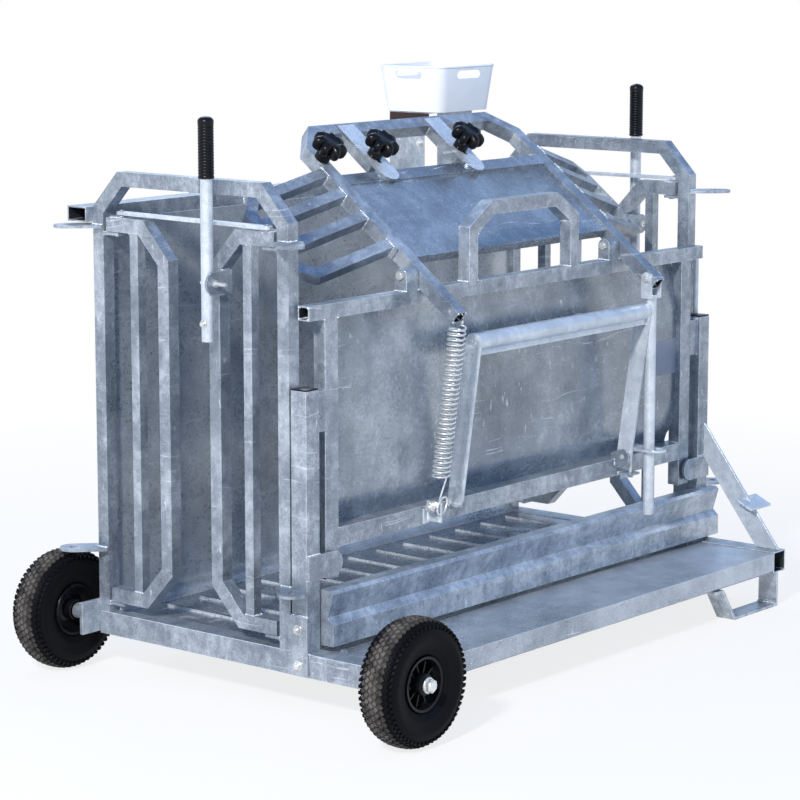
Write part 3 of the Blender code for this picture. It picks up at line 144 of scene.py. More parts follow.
class Graph:
    """A material's node tree with its Principled shader."""

    def __init__(self, name: str) -> None:
        """Make an empty material called name."""
        self.material = bpy.data.materials.new(name)
        self.material.use_nodes = True
        self.tree = self.material.node_tree
        self.shader = self.tree.nodes["Principled BSDF"]

    def node(self, kind: str, settings: dict | None = None, inputs: dict | None = None,
             output: int | str = 0) -> Sock:
        """Add a node.

        Args:
            kind: the node's type.
            settings: its own properties; "stops" holds a colour ramp's stops.
            inputs: values or links by socket name or number.
            output: which output the expression goes on from.

        Returns:
            The chosen output.
        """
        made = self.tree.nodes.new(kind)
        for key, value in (settings or {}).items():
            setattr(made, key, value)
        for key, value in (inputs or {}).items():
            if isinstance(value, Sock):
                self.tree.links.new(value.link, made.inputs[key])
            else:
                made.inputs[key].default_value = value
        return Sock(self, made.outputs[output])

    def place(self, scale: tuple = (1, 1, 1), turn: tuple = (0, 0, 0), centre: tuple = (0, 0, 0)) -> Sock:
        """Object coordinates moved by -centre, turned and stretched."""
        coordinates = self.node("ShaderNodeTexCoord", output="Object")
        shifted = self.node("ShaderNodeVectorMath", {"operation": "SUBTRACT"}, {0: coordinates, 1: centre})
        return self.node("ShaderNodeMapping", None, {"Vector": shifted, "Scale": scale, "Rotation": turn})

    def noise(self, where: Sock, scale: float, detail: float = 4.0, rough: float = 0.55) -> Sock:
        """Cloudy values about 0.5."""
        return self.node("ShaderNodeTexNoise", None,
                         {"Vector": where, "Scale": scale, "Detail": detail, "Roughness": rough})

    def cells(self, where: Sock, scale: float) -> Sock:
        """One random value for each crystal-shaped cell."""
        colour = self.node("ShaderNodeTexVoronoi", None, {"Vector": where, "Scale": scale}, "Color")
        return self.node("ShaderNodeSeparateColor", None, {"Color": colour})

    def blend(self, factor: Any, first: Any, second: Any) -> Sock:
        """Mix two colours."""
        return self.node("ShaderNodeMix", {"data_type": "RGBA"}, {0: factor, 6: first, 7: second}, 2)

    def bump(self, height: Sock, strength: float, distance: float) -> Sock:
        """Normal from a height in the unit of distance."""
        return self.node("ShaderNodeBump", None, {"Height": height, "Strength": strength, "Distance": distance})

    def feed(self, **links: Any) -> Material:
        """Link or set the shader's sockets, named with underscores for spaces."""
        for key, value in links.items():
            socket = self.shader.inputs[key.replace("_", " ")]
            if isinstance(value, Sock):
                self.tree.links.new(value.link, socket)
            else:
                socket.default_value = value
        return self.material


# ---------------------------------------------------------------- finishes
@dataclass(frozen=True)
class Galvanised:
    """Hot-dip zinc: soft clouds, faint spangle, runs down the steel, pale drips and a few rub marks.

    dark, middle and light are the zinc's tones, and bloom is that of drips and rub marks.
    """

    name: str
    spangle: float = 75.0
    cloud: float = 4.0
    shine: float = 0.20
    dark: tuple = (0.150, 0.178, 0.212, 1)
    middle: tuple = (0.300, 0.337, 0.382, 1)
    light: tuple = (0.560, 0.600, 0.640, 1)
    bloom: tuple = (0.800, 0.825, 0.845, 1)
    scratched: float = 1.0
    streaks: float = 0.12
    facets: float = 0.09
    metal: float = 0.56

    def scratches(self, g: Graph, where: Sock) -> Sock:
        """Sparse fine rub marks that fade in and out."""
        wander = g.node("ShaderNodeTexNoise", None, {"Vector": where, "Scale": 6.0, "Detail": 1.0}, "Color")
        bent = g.node("ShaderNodeVectorMath", {"operation": "MULTIPLY_ADD"},
                      {0: wander, 1: (0.05, 0.05, 0.05), 2: where})
        line = g.node("ShaderNodeMapping", None,
                      {"Vector": bent, "Scale": (2.0, 2.0, 260.0), "Rotation": (0.9, 0.5, 0.3)})
        spread = g.noise(where, 13.0, 4.0, 0.6)
        return g.noise(line, 1.0, 2.0, 0.4).band(0.66, 0.70) * spread.band(0.50, 0.62) * self.scratched

    def make(self) -> Material:
        """Return the material."""
        g = Graph(self.name)
        where = g.place()
        crystal = g.cells(where, self.spangle)
        clouds = g.noise(where, self.cloud, 5.0, 0.60)
        patches = g.noise(where, self.cloud * 6.0, 4.0, 0.60)
        speckle = g.noise(where, 260.0, 4.0, 0.7)
        runs = g.noise(g.place((38, 38, 2.4)), 1.0, 4.0, 0.6)
        drips = g.noise(g.place((95, 95, 30)), 1.0, 3.0, 0.55)
        marks = self.scratches(g, where)
        tone = (crystal * self.facets + clouds.band(0.30, 0.70) * 0.32 + runs.band(0.32, 0.68) * self.streaks
                + patches.band(0.32, 0.68) * 0.20 + speckle.band(0.3, 0.7) * 0.26)
        bloom = drips.band(0.66, 0.76) * 0.60 + marks * 0.55
        shade = g.blend(tone.band(0.20, 0.52), self.dark, self.middle)
        metal = g.blend(tone.band(0.48, 0.84), shade, self.light)
        colour = g.blend(bloom.band(0.0, 1.0), metal, self.bloom)
        rough = crystal * 0.06 + speckle * 0.12 + clouds.band(0.3, 0.7) * 0.10 + bloom * 0.22 + self.shine
        height = patches * 0.35 + runs * 0.55 + bloom * 0.45 + speckle * 0.22
        wave = g.bump(g.noise(where, 3.0, 2.0, 0.4), 0.25, 0.010)
        normal = g.node("ShaderNodeBump", None, {"Height": height, "Strength": 0.28, "Distance": 0.0010,
                                                 "Normal": wave})
        return g.feed(Base_Color=colour, Roughness=rough, Metallic=self.metal - bloom * 0.4, Normal=normal)


@dataclass(frozen=True)
class Zinc:
    """Bright plated zinc of bolts, nuts and the spring."""

    name: str = "bright_zinc_plate"

    def make(self) -> Material:
        """Return the material."""
        g = Graph(self.name)
        tarnish = g.noise(g.place(), 90.0, 4.0, 0.6)
        grime = g.noise(g.place(), 22.0, 3.0, 0.6).band(0.52, 0.72)
        colour = g.blend(tarnish, (0.62, 0.62, 0.60, 1), (0.90, 0.90, 0.88, 1))
        colour = g.blend(grime * 0.5, colour, (0.22, 0.20, 0.17, 1))
        return g.feed(Base_Color=colour, Roughness=tarnish * 0.2 + grime * 0.2 + 0.20, Metallic=0.70,
                      Normal=g.bump(tarnish, 0.15, 0.0004))


@dataclass(frozen=True)
class Moulded:
    """Moulded plastic with a fine grain and a little dust."""

    name: str
    colour: tuple
    dusty: tuple
    rough: float
    grain: float = 700.0
    dust: float = 0.25
    sheen: float = 0.5

    def make(self) -> Material:
        """Return the material."""
        g = Graph(self.name)
        fine = g.noise(g.place(), self.grain, 2.0, 0.5)
        film = g.noise(g.place(), 26.0, 5.0, 0.65).band(0.45, 0.75)
        colour = g.blend(film * self.dust, self.colour, self.dusty)
        return g.feed(Base_Color=colour, Roughness=fine * 0.10 + film * 0.12 + self.rough,
                      Specular_IOR_Level=self.sheen, Normal=g.bump(fine, 0.12, 0.0003))


@dataclass(frozen=True)
class TyreRubber:
    """Black rubber with dried dust on the tread and grey scuffs on the wall."""

    name: str
    centre: tuple
    dust_start: float = 0.1225
    dust_full: float = 0.1295

    def make(self) -> Material:
        """Return the material."""
        g = Graph(self.name)
        local = g.place(centre=self.centre)
        flat = g.node("ShaderNodeVectorMath", {"operation": "MULTIPLY"}, {0: local, 1: (1, 0, 1)})
        radius = g.node("ShaderNodeVectorMath", {"operation": "LENGTH"}, {0: flat}, "Value")
        blotch = g.noise(local, 30.0, 5.0, 0.65)
        fine = g.noise(local, 420.0, 3.0, 0.6)
        dust = radius.band(self.dust_start, self.dust_full) * blotch.band(0.30, 0.58)
        scuff = blotch.band(0.62, 0.74) * 0.04
        colour = g.blend(dust * 0.85 + scuff, (0.004, 0.004, 0.005, 1), (0.150, 0.132, 0.115, 1))
        return g.feed(Base_Color=colour, Roughness=dust * 0.30 + fine * 0.15 + 0.46, Specular_IOR_Level=0.07,
                      Normal=g.bump(fine, 0.30, 0.0006))


# ---------------------------------------------------------------- mesh helpers
def facing(direction: Vector) -> Matrix:
    """Rotation that turns +Z to direction."""
    return Vector(direction).to_track_quat("Z", "Y").to_matrix().to_4x4()


def publish(shape: BMesh, name: str, material: Material, body: str | None,
            smooth: float | None = 35.0) -> Object:
    """Write a finished shape as an object that rides on a body.

    Args:
        shape: the mesh, in the frame's metres; it is freed.
        name: the piece's name.
        material: its finish.
        body: the body that it moves with, or None to leave it on no body.
        smooth: edges sharper than this many degrees stay sharp, or None to smooth them all.

    Returns:
        The object.
    """
    mesh = bpy.data.meshes.new(name)
    shape.to_mesh(mesh)
    shape.free()
    mesh.materials.append(material)
    mesh.shade_smooth()
    if smooth is not None:
        mesh.set_sharp_from_angle(angle=math.radians(smooth))
    piece = bpy.data.objects.new(name, mesh)
    bpy.context.scene.collection.objects.link(piece)
    if body is not None:
        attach(piece, body)
    return piece


def soften(piece: Object, width: float, degrees: float = 35.0, harden: bool = True) -> Modifier:
    """Add a Bevel modifier for edges sharper than so many degrees."""
    edge = piece.modifiers.new("rounded_edges", "BEVEL")
    edge.width, edge.segments, edge.limit_method = width, 2, "ANGLE"
    edge.angle_limit, edge.harden_normals, edge.profile = math.radians(degrees), harden, 0.5
    return edge


def add_box(shape: BMesh, centre: Vector, size: Vector, place: Matrix = Matrix()) -> list:
    """Add a box of that size about centre, both in place's frame, and return its corners."""
    spot = place @ Matrix.Translation(centre) @ Matrix.Diagonal((*size, 1))
    return bmesh.ops.create_cube(shape, size=1, matrix=spot)["verts"]


def wire_frame(ahead: Vector, axis: Vector) -> Matrix:
    """Frame across a wire that doesn't twist from ring to ring."""
    forward = ahead.normalized()
    across = axis.normalized().cross(forward)
    if across.length < NEARLY_PARALLEL:
        across = Vector((1, 0, 0)).cross(forward)
    across.normalize()
    up = forward.cross(across)
    return Matrix((across, up, forward)).transposed().to_4x4()


def sweep(route: list, axis: Vector, radius: float, sides: int, closed: bool) -> BMesh:
    """Sweep a round section along a route.

    Args:
        route: pairs of a point and the direction of the wire there.
        axis: the direction that the sections keep their first corner to.
        radius: the wire's radius.
        sides: corners of one section.
        closed: join the last section to the first, where False caps both ends.

    Returns:
        The wire's shape.
    """
    shape = bmesh.new()
    rings = [bmesh.ops.create_circle(shape, segments=sides, radius=radius, cap_ends=False,
                                     matrix=Matrix.Translation(point) @ wire_frame(ahead, axis))["verts"]
             for point, ahead in route]
    ends = [(rings[-1], rings[0])] if closed else []
    for first, second in ends + list(zip(rings, rings[1:])):
        for k in range(sides):
            shape.faces.new((first[k], first[(k + 1) % sides], second[(k + 1) % sides], second[k]))
    if not closed:
        shape.faces.new(rings[0][::-1])
        shape.faces.new(rings[-1])
    bmesh.ops.recalc_face_normals(shape, faces=shape.faces)
    return shape


def bevel(shape: BMesh, width: float, segments: int = 2, sharper: float = 30.0) -> None:
    """Round every edge sharper than so many degrees."""
    edges = [e for e in shape.edges if len(e.link_faces) == 2 and e.calc_face_angle() > math.radians(sharper)]
    bmesh.ops.bevel(shape, geom=edges, offset=width, offset_type="OFFSET", affect="EDGES", segments=segments,
                    profile=0.5, material=-1, clamp_overlap=True)


def add_cone(shape: BMesh, start: Vector, end: Vector, radius: float, tip: float | None = None,
             sides: int = 32) -> None:
    """Add a round bar, or a taper, between two points."""
    start, end = Vector(start), Vector(end)
    bmesh.ops.create_cone(shape, cap_ends=True, segments=sides, radius1=radius,
                          radius2=radius if tip is None else tip, depth=(end - start).length,
                          matrix=Matrix.Translation((start + end) / 2) @ facing(end - start))


def turned(profile: list, place: Matrix, steps: int = 64) -> BMesh:
    """Turn a closed profile of (radius, height) about place's own z axis."""
    shape = bmesh.new()
    ring = [shape.verts.new((radius, 0, height)) for radius, height in profile]
    edges = [shape.edges.new((ring[i - 1], ring[i])) for i in range(len(ring))]
    bmesh.ops.spin(shape, geom=ring + edges, cent=(0, 0, 0), axis=(0, 0, 1), dvec=(0, 0, 0), angle=FULL_TURN,
                   steps=steps, use_merge=True, use_duplicate=False)
    bmesh.ops.remove_doubles(shape, verts=shape.verts, dist=1e-6)
    bmesh.ops.recalc_face_normals(shape, faces=shape.faces)
    bmesh.ops.transform(shape, matrix=place, verts=shape.verts)
    return shape


def end_centre(node: str, high: bool) -> Vector:
    """Middle of a CAD node's lowest or highest end."""
    low_corner, high_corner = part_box(node)
    level = high_corner.z if high else low_corner.z
    reach = 0.003
    close = [v.co for v in frame["nodes"][node].data.vertices if abs(v.co.z - level) < reach]
    return sum(close, Vector()) / len(close)


def joint(name: str) -> dict:
    """The record's joint of that name."""
    return next(j for j in frame["joints"] if j["name"] == name)


# ---------------------------------------------------------------- steel
@dataclass
class SteelWork:
    """Tubes, bars and sheets: rounded edges with a painted highlight, weld seams, painted shade in open tube ends,
    and their zinc finishes.
    """

    bead: float = 0.0023               # a weld's radius
    bead_pitch: float = 0.0038
    shortest: float = 0.012            # inside corners between these two lengths are welded
    longest: float = 0.075
    bore_area: float = 0.0036          # a tube's bore has no larger floor
    flat_angle: float = 0.6            # triangles within so many degrees are one face
    rib_step: float = 0.0008           # a rib's side starts this far over the tread
    plate_step: float = 0.002          # the adjusters' tops lie this near the highest face
    # lighter zinc of the painted highlights on rounded edges, rib sides and adjuster tops
    edge: Material | None = None
    # near-black zinc of the painted shade inside open tube ends
    bore: Material | None = None
    PAINTED_HIGHLIGHT: ClassVar[int] = 1            # material slots of a dressed node: the painted highlight and the painted bore shade
    PAINTED_BORE_SHADE: ClassVar[int] = 2
    tubes: tuple = ("base_frame", "entry_gate_frame", "exit_gate_frame", "entry_column", "exit_column",
                    "far_top_rail", "entry_leaf_far", "entry_leaf_near", "exit_leaf_far", "exit_leaf_near",
                    "side_panel_frame", "hood_frame", "entry_wing", "exit_wing")
    flats: tuple = ("foot_near", "foot_far", "tray_bracket", "axle_near", "axle_far", "toe_rail")
    sheets: tuple = ("floor_tread", "side_panel_sheet", "hood_sheet")
    plates: tuple = ("platform_deck", "far_wall_sheet")
    rounds: tuple = ("clamp_rod", "panel_hinge_pin_entry", "panel_hinge_pin_exit")
    bars: tuple = ("entry_lever", "exit_lever", "entry_gate_link", "exit_gate_link", "exit_brace", "drop_pin",
                   "release_bar", "lock_plate", "spring_anchor")

    def body(self, node: str) -> str:
        """Name of the body that holds a CAD node."""
        return frame["nodes"][node]["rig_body"]

    def merged(self, node: str) -> BMesh:
        """A copy of a CAD node with its loose triangles joined into flat faces."""
        shape = bmesh.new()
        shape.from_mesh(frame["nodes"][node].data)
        bmesh.ops.remove_doubles(shape, verts=shape.verts, dist=MERGE)
        bmesh.ops.dissolve_limit(shape, angle_limit=math.radians(self.flat_angle), verts=shape.verts,
                                 edges=shape.edges, use_dissolve_boundaries=False)
        return shape

    def round_off(self, node: str, stock: Stock, material: Material) -> None:
        """Stand a copy with rounded edges in for a CAD node; its rounded edges take the lighter zinc of a painted
        highlight.
        """
        shape = self.merged(node)
        if stock is not Stock.SHEET:
            # the weld beads take the same lighter zinc as the painted edge highlights
            self.weld(node, shape, self.edge)
        self.paint_bore_shade(shape)
        if node == "floor_tread":
            self.paint_rib_highlights(shape)
        if node == "hood_sheet":
            self.paint_adjuster_highlights(shape)
        piece = publish(shape, f"{node}_steel", material, self.body(node))
        piece.data.materials.append(self.edge)
        piece.data.materials.append(self.bore)
        soften(piece, stock.value).material = self.PAINTED_HIGHLIGHT
        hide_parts(node)

    def paint_bore_shade(self, shape: BMesh) -> None:
        """Paint shade on the floor and walls of each open tube end, with the near-black zinc that stands in for the
        shade deep in a bore.
        """
        for face in shape.faces:
            if len(face.edges) < 4 or face.calc_area() > self.bore_area:
                continue
            if all(len(e.link_faces) == 2 and e.calc_face_angle_signed() < -math.radians(60) for e in face.edges):
                face.material_index = self.PAINTED_BORE_SHADE
                for wall in {f for e in face.edges for f in e.link_faces}:
                    wall.material_index = self.PAINTED_BORE_SHADE

    def paint_rib_highlights(self, shape: BMesh) -> None:
        """Paint a highlight with the lighter zinc on the entry side of the floor's ribs, the side that faces the
        key lamp.
        """
        faces = [f for f in shape.faces if f.normal.z > 0.9]
        level = max(faces, key=lambda f: f.calc_area()).calc_center_median().z
        for face in shape.faces:
            if face.normal.x < -0.5 and face.calc_center_median().z > level + self.rib_step:
                face.material_index = self.PAINTED_HIGHLIGHT

    def paint_adjuster_highlights(self, shape: BMesh) -> None:
        """Paint a highlight with the lighter zinc on the tops of the two adjuster plates that stand above the
        carrier bar.
        """
        up = max(shape.faces, key=lambda f: f.calc_area() if f.normal.z > 0 else 0.0).normal.copy()
        tops = [f for f in shape.faces if f.normal.dot(up) > 0.99]
        level = max(f.calc_center_median().dot(up) for f in tops)
        for face in tops:
            if face.calc_center_median().dot(up) > level - self.plate_step:
                face.material_index = self.PAINTED_HIGHLIGHT

    def weld(self, node: str, shape: BMesh, material: Material) -> None:
        """Lay a rippled bead along each inside corner of a node."""
        draw = random.Random(node)
        beads = bmesh.new()
        for edge in shape.edges:
            if len(edge.link_faces) != 2 or not self.shortest < edge.calc_length() < self.longest:
                continue
            if edge.calc_face_angle_signed() > -math.radians(50):
                continue
            start, end = edge.verts[0].co, edge.verts[1].co
            out = (edge.link_faces[0].normal + edge.link_faces[1].normal).normalized()
            count = max(2, int((end - start).length / self.bead_pitch))
            for i in range(count + 1):
                size = self.bead * draw.uniform(0.8, 1.25)
                centre = start.lerp(end, i / count) + out * size * 0.2
                bmesh.ops.create_icosphere(beads, subdivisions=1, radius=size, matrix=Matrix.Translation(centre))
        if beads.verts:
            publish(beads, f"{node}_welds", material, self.body(node), 80.0)
        else:
            beads.free()

    def build(self) -> None:
        """Dress every steel node."""
        tube = Galvanised("galvanised_tube", cloud=6.0, light=(0.60, 0.64, 0.68, 1)).make()
        flat = Galvanised("galvanised_flat", cloud=9.0, dark=(0.190, 0.222, 0.262, 1),
                          middle=(0.370, 0.412, 0.462, 1), light=(0.66, 0.70, 0.74, 1)).make()
        plate = Galvanised("galvanised_plate", spangle=130.0, cloud=2.4, shine=0.16, streaks=0.06, facets=0.06,
                           dark=(0.230, 0.262, 0.300, 1), middle=(0.430, 0.470, 0.515, 1),
                           light=(0.68, 0.72, 0.76, 1)).make()
        sheet = Galvanised("galvanised_sheet", spangle=130.0, cloud=2.4, shine=0.12, scratched=1.2,
                           streaks=0.06, facets=0.06, metal=0.66).make()
        pale = Galvanised("galvanised_bar", cloud=8.0, dark=(0.42, 0.46, 0.50, 1), middle=(0.56, 0.60, 0.64, 1),
                          light=(0.76, 0.79, 0.82, 1), metal=0.40).make()
        # painted highlight: lighter zinc for rounded edges, the ribs' lamp-side faces and the adjuster tops, also
        # used for the welds
        self.edge = Galvanised("galvanised_edge_painted_highlight", cloud=10.0, dark=(0.50, 0.54, 0.58, 1), shine=0.14,
                               middle=(0.68, 0.72, 0.76, 1), light=(0.86, 0.88, 0.90, 1), metal=0.50).make()
        # painted shade: near-black zinc for the floor and walls inside open tube ends
        self.bore = Galvanised("galvanised_bore_painted_shade", dark=(0.010, 0.012, 0.015, 1), middle=(0.020, 0.023, 0.028, 1),
                               light=(0.040, 0.045, 0.052, 1), bloom=(0.06, 0.065, 0.07, 1), shine=0.5,
                               metal=0.45).make()
        groups = ((self.tubes, Stock.TUBE, tube), (self.flats, Stock.FLAT, flat),
                  (self.sheets, Stock.SHEET, sheet), (self.plates, Stock.SHEET, plate),
                  (self.rounds, Stock.ROUND, pale), (self.bars, Stock.BAR, pale))
        for nodes, stock, finish in groups:
            for node in nodes:
                self.round_off(node, stock, finish)
        LOG.info("steel: %d nodes dressed", sum(len(nodes) for nodes, _, _ in groups))


# ---------------------------------------------------------------- wheels
@dataclass
class Wheel:
    """A pneumatic tyre on a black moulded rim."""

    side: str
    centre: Vector
    outward: int
    radius: float = 0.130
    half_width: float = 0.0425
    rim: float = 0.056
    tread_depth: float = 0.0030
    blocks: int = 58
    rows: tuple = (-0.0315, -0.021, -0.0105, 0.0, 0.0105, 0.021, 0.0315)
    ribs: int = 10
    block_width: float = 0.0100
    block_lean: float = 32.0
    nut_start: float = 0.0378
    nut_stack: tuple = ((40, 0.0165, 0.0160, 0.0028, 0.0014), (6, 0.0148, 0.0148, 0.0085, 0.0071),
                        (32, 0.0122, 0.0105, 0.0030, 0.0125))   # sides, two radii, depth, middle

    @property
    def place(self) -> Matrix:
        """Frame with its z axis along the axle, away from the crate."""
        return Matrix.Translation(self.centre) @ facing(Vector((0, self.outward, 0)))

    def crown(self, across: float) -> float:
        """Radius of the tyre's carcass under the tread at a distance from its middle."""
        return self.radius - self.tread_depth - 0.0095 * (abs(across) / 0.032) ** 2.4

    def tyre(self, rubber: Material) -> None:
        """Carcass with bead ring, wall ribs, and a tread of skewed blocks."""
        half = self.half_width
        tread = [(self.crown(half * 0.76 * (i / 5 - 1)), half * 0.76 * (i / 5 - 1)) for i in range(11)]
        wall = [(self.rim + 0.001, 0.62), (self.rim + 0.006, 0.72), (self.rim + 0.013, 0.80),
                (self.rim + 0.016, 0.86), (self.rim + 0.021, 0.87), (self.rim + 0.030, 0.955),
                (self.rim + 0.038, 0.985), (self.rim + 0.041, 1.0), (self.rim + 0.044, 0.985),
                (self.rim + 0.052, 0.955)]
        left = [(radius, -half * share) for radius, share in wall]
        right = [(radius, half * share) for radius, share in reversed(wall)]
        shape = turned(left + tread + right, self.place, 96)
        for row, across in enumerate(self.rows):
            for i in range(self.blocks):
                turn = FULL_TURN * (i + 0.5 * (row % 2)) / self.blocks
                self.block(shape, turn, across, 1 if row % 2 else -1)
        for side in (-1, 1):
            for i in range(self.blocks):
                self.shoulder(shape, FULL_TURN * (i + 0.25) / self.blocks, side)
        piece = publish(shape, f"tyre_{self.side}_treaded", rubber, f"wheel_{self.side}")
        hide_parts(f"tyre_{self.side}")

    def block(self, shape: BMesh, turn: float, across: float, lean: int) -> None:
        """One diamond of the tread."""
        length = FULL_TURN * self.radius / self.blocks * 0.92
        base = self.crown(across)
        spot = (self.place @ Matrix.Rotation(turn, 4, "Z") @ Matrix.Translation((base, 0, across))
                @ Matrix.Rotation(math.radians(self.block_lean * lean), 4, "X"))
        size = (self.tread_depth * 1.9, length * 0.80, self.block_width * 0.86)
        made = add_box(shape, (0, 0, 0), size, spot)
        outer = [v for v in made if (self.place.inverted() @ v.co).xy.length > base]
        centre = sum((v.co for v in outer), Vector()) / len(outer)
        bmesh.ops.scale(shape, vec=(0.84, 0.84, 0.84), space=Matrix.Translation(-centre), verts=outer)

    def shoulder(self, shape: BMesh, turn: float, side: int) -> None:
        """One short rib on the tyre's shoulder."""
        spot = (self.place @ Matrix.Rotation(turn, 4, "Z")
                @ Matrix.Translation((self.radius - 0.0185, 0, side * self.half_width * 0.86))
                @ Matrix.Rotation(side * math.radians(-24), 4, "Y"))
        add_box(shape, (0, 0, 0), (0.012, 0.0060, 0.0050), spot)

    def hub(self, plastic: Material) -> None:
        """Dished rim with a ring of ribs, a hub barrel and a bearing."""
        rim, half = self.rim, self.half_width
        profile = [(0.0118, 0.0345), (0.020, 0.0345), (0.0215, 0.033), (0.0225, 0.012), (0.030, 0.0085),
                   (0.040, 0.0105), (0.046, 0.018), (0.0485, 0.0255), (0.0500, 0.0300), (rim - 0.001, 0.0310),
                   (rim, 0.0295), (rim + 0.0005, half * 0.62)]
        inner = [(radius, -height) for radius, height in reversed(profile)]
        shape = turned(profile + inner, self.place, 72)
        for i in range(self.ribs):
            turn = Matrix.Rotation(FULL_TURN * i / self.ribs, 4, "Z")
            add_box(shape, (0.033, 0, 0.0145), (0.024, 0.0030, 0.012), self.place @ turn)
        piece = publish(shape, f"rim_{self.side}_moulded", plastic, f"wheel_{self.side}")
        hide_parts(f"rim_{self.side}")
        ring = [(0.0106, 0.0346), (0.0106, 0.0362), (0.0165, 0.0362), (0.0185, 0.0352), (0.0185, 0.0346)]
        bearing = turned(ring, self.place, 48)
        publish(bearing, f"bearing_{self.side}", plastic, f"wheel_{self.side}")

    def nut(self, zinc: Material) -> None:
        """Washer, self-locking nut and the axle's threaded end."""
        shape = bmesh.new()
        for sides, low, high, depth, middle in self.nut_stack:
            bmesh.ops.create_cone(shape, cap_ends=True, segments=sides, radius1=low, radius2=high, depth=depth,
                                  matrix=Matrix.Translation((0, 0, self.nut_start + middle)))
        bevel(shape, 0.0006)
        bmesh.ops.transform(shape, matrix=self.place, verts=shape.verts)
        piece = publish(shape, f"wheel_nut_{self.side}_plated", zinc, "root")
        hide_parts(f"wheel_nut_{self.side}")

    def build(self, plastic: Material, zinc: Material) -> None:
        """Make the whole wheel."""
        rubber = TyreRubber(f"tyre_rubber_{self.side}", tuple(self.centre)).make()
        self.tyre(rubber)
        self.hub(plastic)
        self.nut(zinc)
        LOG.info("wheel: %s", self.side)


# ---------------------------------------------------------------- spring
@dataclass
class ReturnSpring:
    """Wound tension spring between the hood's near end and the panel's lower rail."""

    wire: float = 0.0021               # radii of the wire and of the coils' middle
    coil: float = 0.0180
    turns: int = 31
    per_turn: int = 16
    sides: int = 8
    lower_hook: float = 0.052          # from the ends to the first and last coil
    upper_gap: float = 0.006
    loop: float = 0.0165               # upper hook's radius, and its middle over the last coil
    loop_rise: float = 0.0135

    def route(self, foot: Vector, top: Vector) -> list:
        """Centre line of the wire: straight lower hook, stretched coils, open hook into the arm's end."""
        run = (top - foot).normalized()
        side = Vector((1, 0, 0)) - run * run.x
        side.normalize()
        front = run.cross(side)
        low, high = foot + run * self.lower_hook, top - run * self.upper_gap
        points = [foot - run * 0.006 - side * 0.004, foot - run * 0.007 + side * 0.002, foot + side * 0.004]
        points += [foot.lerp(low + side * self.coil, share) + side * 0.003 for share in (0.35, 0.65, 0.9)]
        total = self.turns * self.per_turn
        for i in range(total + 1):
            turn = FULL_TURN * i / self.per_turn
            points.append(low.lerp(high, i / total) + (side * math.cos(turn) + front * math.sin(turn)) * self.coil)
        loop = high + run * self.loop_rise
        for angle in range(-50, 131, 20):
            a = math.radians(angle)
            points.append(loop + (side * math.cos(a) + run * math.sin(a)) * self.loop)
        return points

    def build(self, zinc: Material) -> None:
        """Sweep the wire's section along its route."""
        foot, top = end_centre("hood_spring", False), end_centre("hood_spring", True)
        points = self.route(foot, top)
        aheads = [points[min(i + 1, len(points) - 1)] - points[max(i - 1, 0)] for i in range(len(points))]
        shape = sweep(list(zip(points, aheads)), top - foot, self.wire, self.sides, closed=False)
        piece = publish(shape, "hood_spring_wound", zinc, None, None)
        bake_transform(piece)
        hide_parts("hood_spring")
        LOG.info("spring: %d turns", self.turns)


# ---------------------------------------------------------------- plastic parts
@dataclass
class Knobs:
    """Star knobs of the hood."""

    radius: float = 0.0402
    lobes: int = 7
    height: float = 0.0535
    steps: int = 12
    levels: tuple = ((0.0, 0.42), (0.018, 0.42), (0.0205, 0.62), (0.0230, 0.88), (0.0275, 0.97), (0.0355, 1.0),
                     (0.0435, 0.97), (0.0485, 0.88), (0.0520, 0.74), (0.0535, 0.56), (0.0530, 0.48), (0.0505, 0.42))

    def star(self, place: Matrix, name: str, body: str, plastic: Material) -> Object:
        """One lobed knob with a dished top and a stem collar."""
        shape = bmesh.new()
        count = self.lobes * self.steps
        rings = []
        for level, share in self.levels:
            made = bmesh.ops.create_circle(shape, segments=count, radius=1.0, cap_ends=False)["verts"]
            for vert in made:
                angle = math.atan2(vert.co.y, vert.co.x)
                swell = 0.5 + 0.5 * math.cos(self.lobes * angle)
                depth = 0.34 if share > 0.7 else (0.16 if share > 0.5 else 0.0)
                reach = self.radius * share * (1 - depth * (1 - swell ** 0.55))
                vert.co = Vector((reach * math.cos(angle), reach * math.sin(angle), level))
            rings.append(made)
        for first, second in zip(rings, rings[1:]):
            bmesh.ops.bridge_loops(shape, edges=self.loop(first) + self.loop(second))
        for ring in (rings[0], rings[-1]):
            bmesh.ops.contextual_create(shape, geom=self.loop(ring))
        bmesh.ops.recalc_face_normals(shape, faces=shape.faces)
        bmesh.ops.transform(shape, matrix=place, verts=shape.verts)
        return publish(shape, name, plastic, body, 50.0)

    @staticmethod
    def loop(ring: list) -> list:
        """Edges that run round one ring of corners."""
        members = set(ring)
        near = {e for v in ring for e in v.link_edges}
        return [e for e in near if e.verts[0] in members and e.verts[1] in members]

    def build(self, plastic: Material) -> None:
        """Stand a moulded knob on each stud."""
        for number in (1, 2, 3):
            turn = joint(f"star_knob_{number}_turn")
            axis = Vector(turn["axis"]).normalized()
            node = frame["nodes"][f"star_knob_{number}"]
            top = max((v.co - Vector(turn["pos_m"])).dot(axis) for v in node.data.vertices)
            base = Vector(turn["pos_m"]) + axis * (top - self.height - 0.0005)
            piece = self.star(Matrix.Translation(base) @ facing(axis), f"star_knob_{number}_moulded",
                              f"star_knob_{number}", plastic)
            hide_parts(f"star_knob_{number}")
            stud = bmesh.new()
            add_cone(stud, base - axis * 0.018, base + axis * 0.002, 0.004, sides=20)
            publish(stud, f"star_knob_{number}_stud", plastic, f"star_knob_{number}")
        LOG.info("knobs: 3")


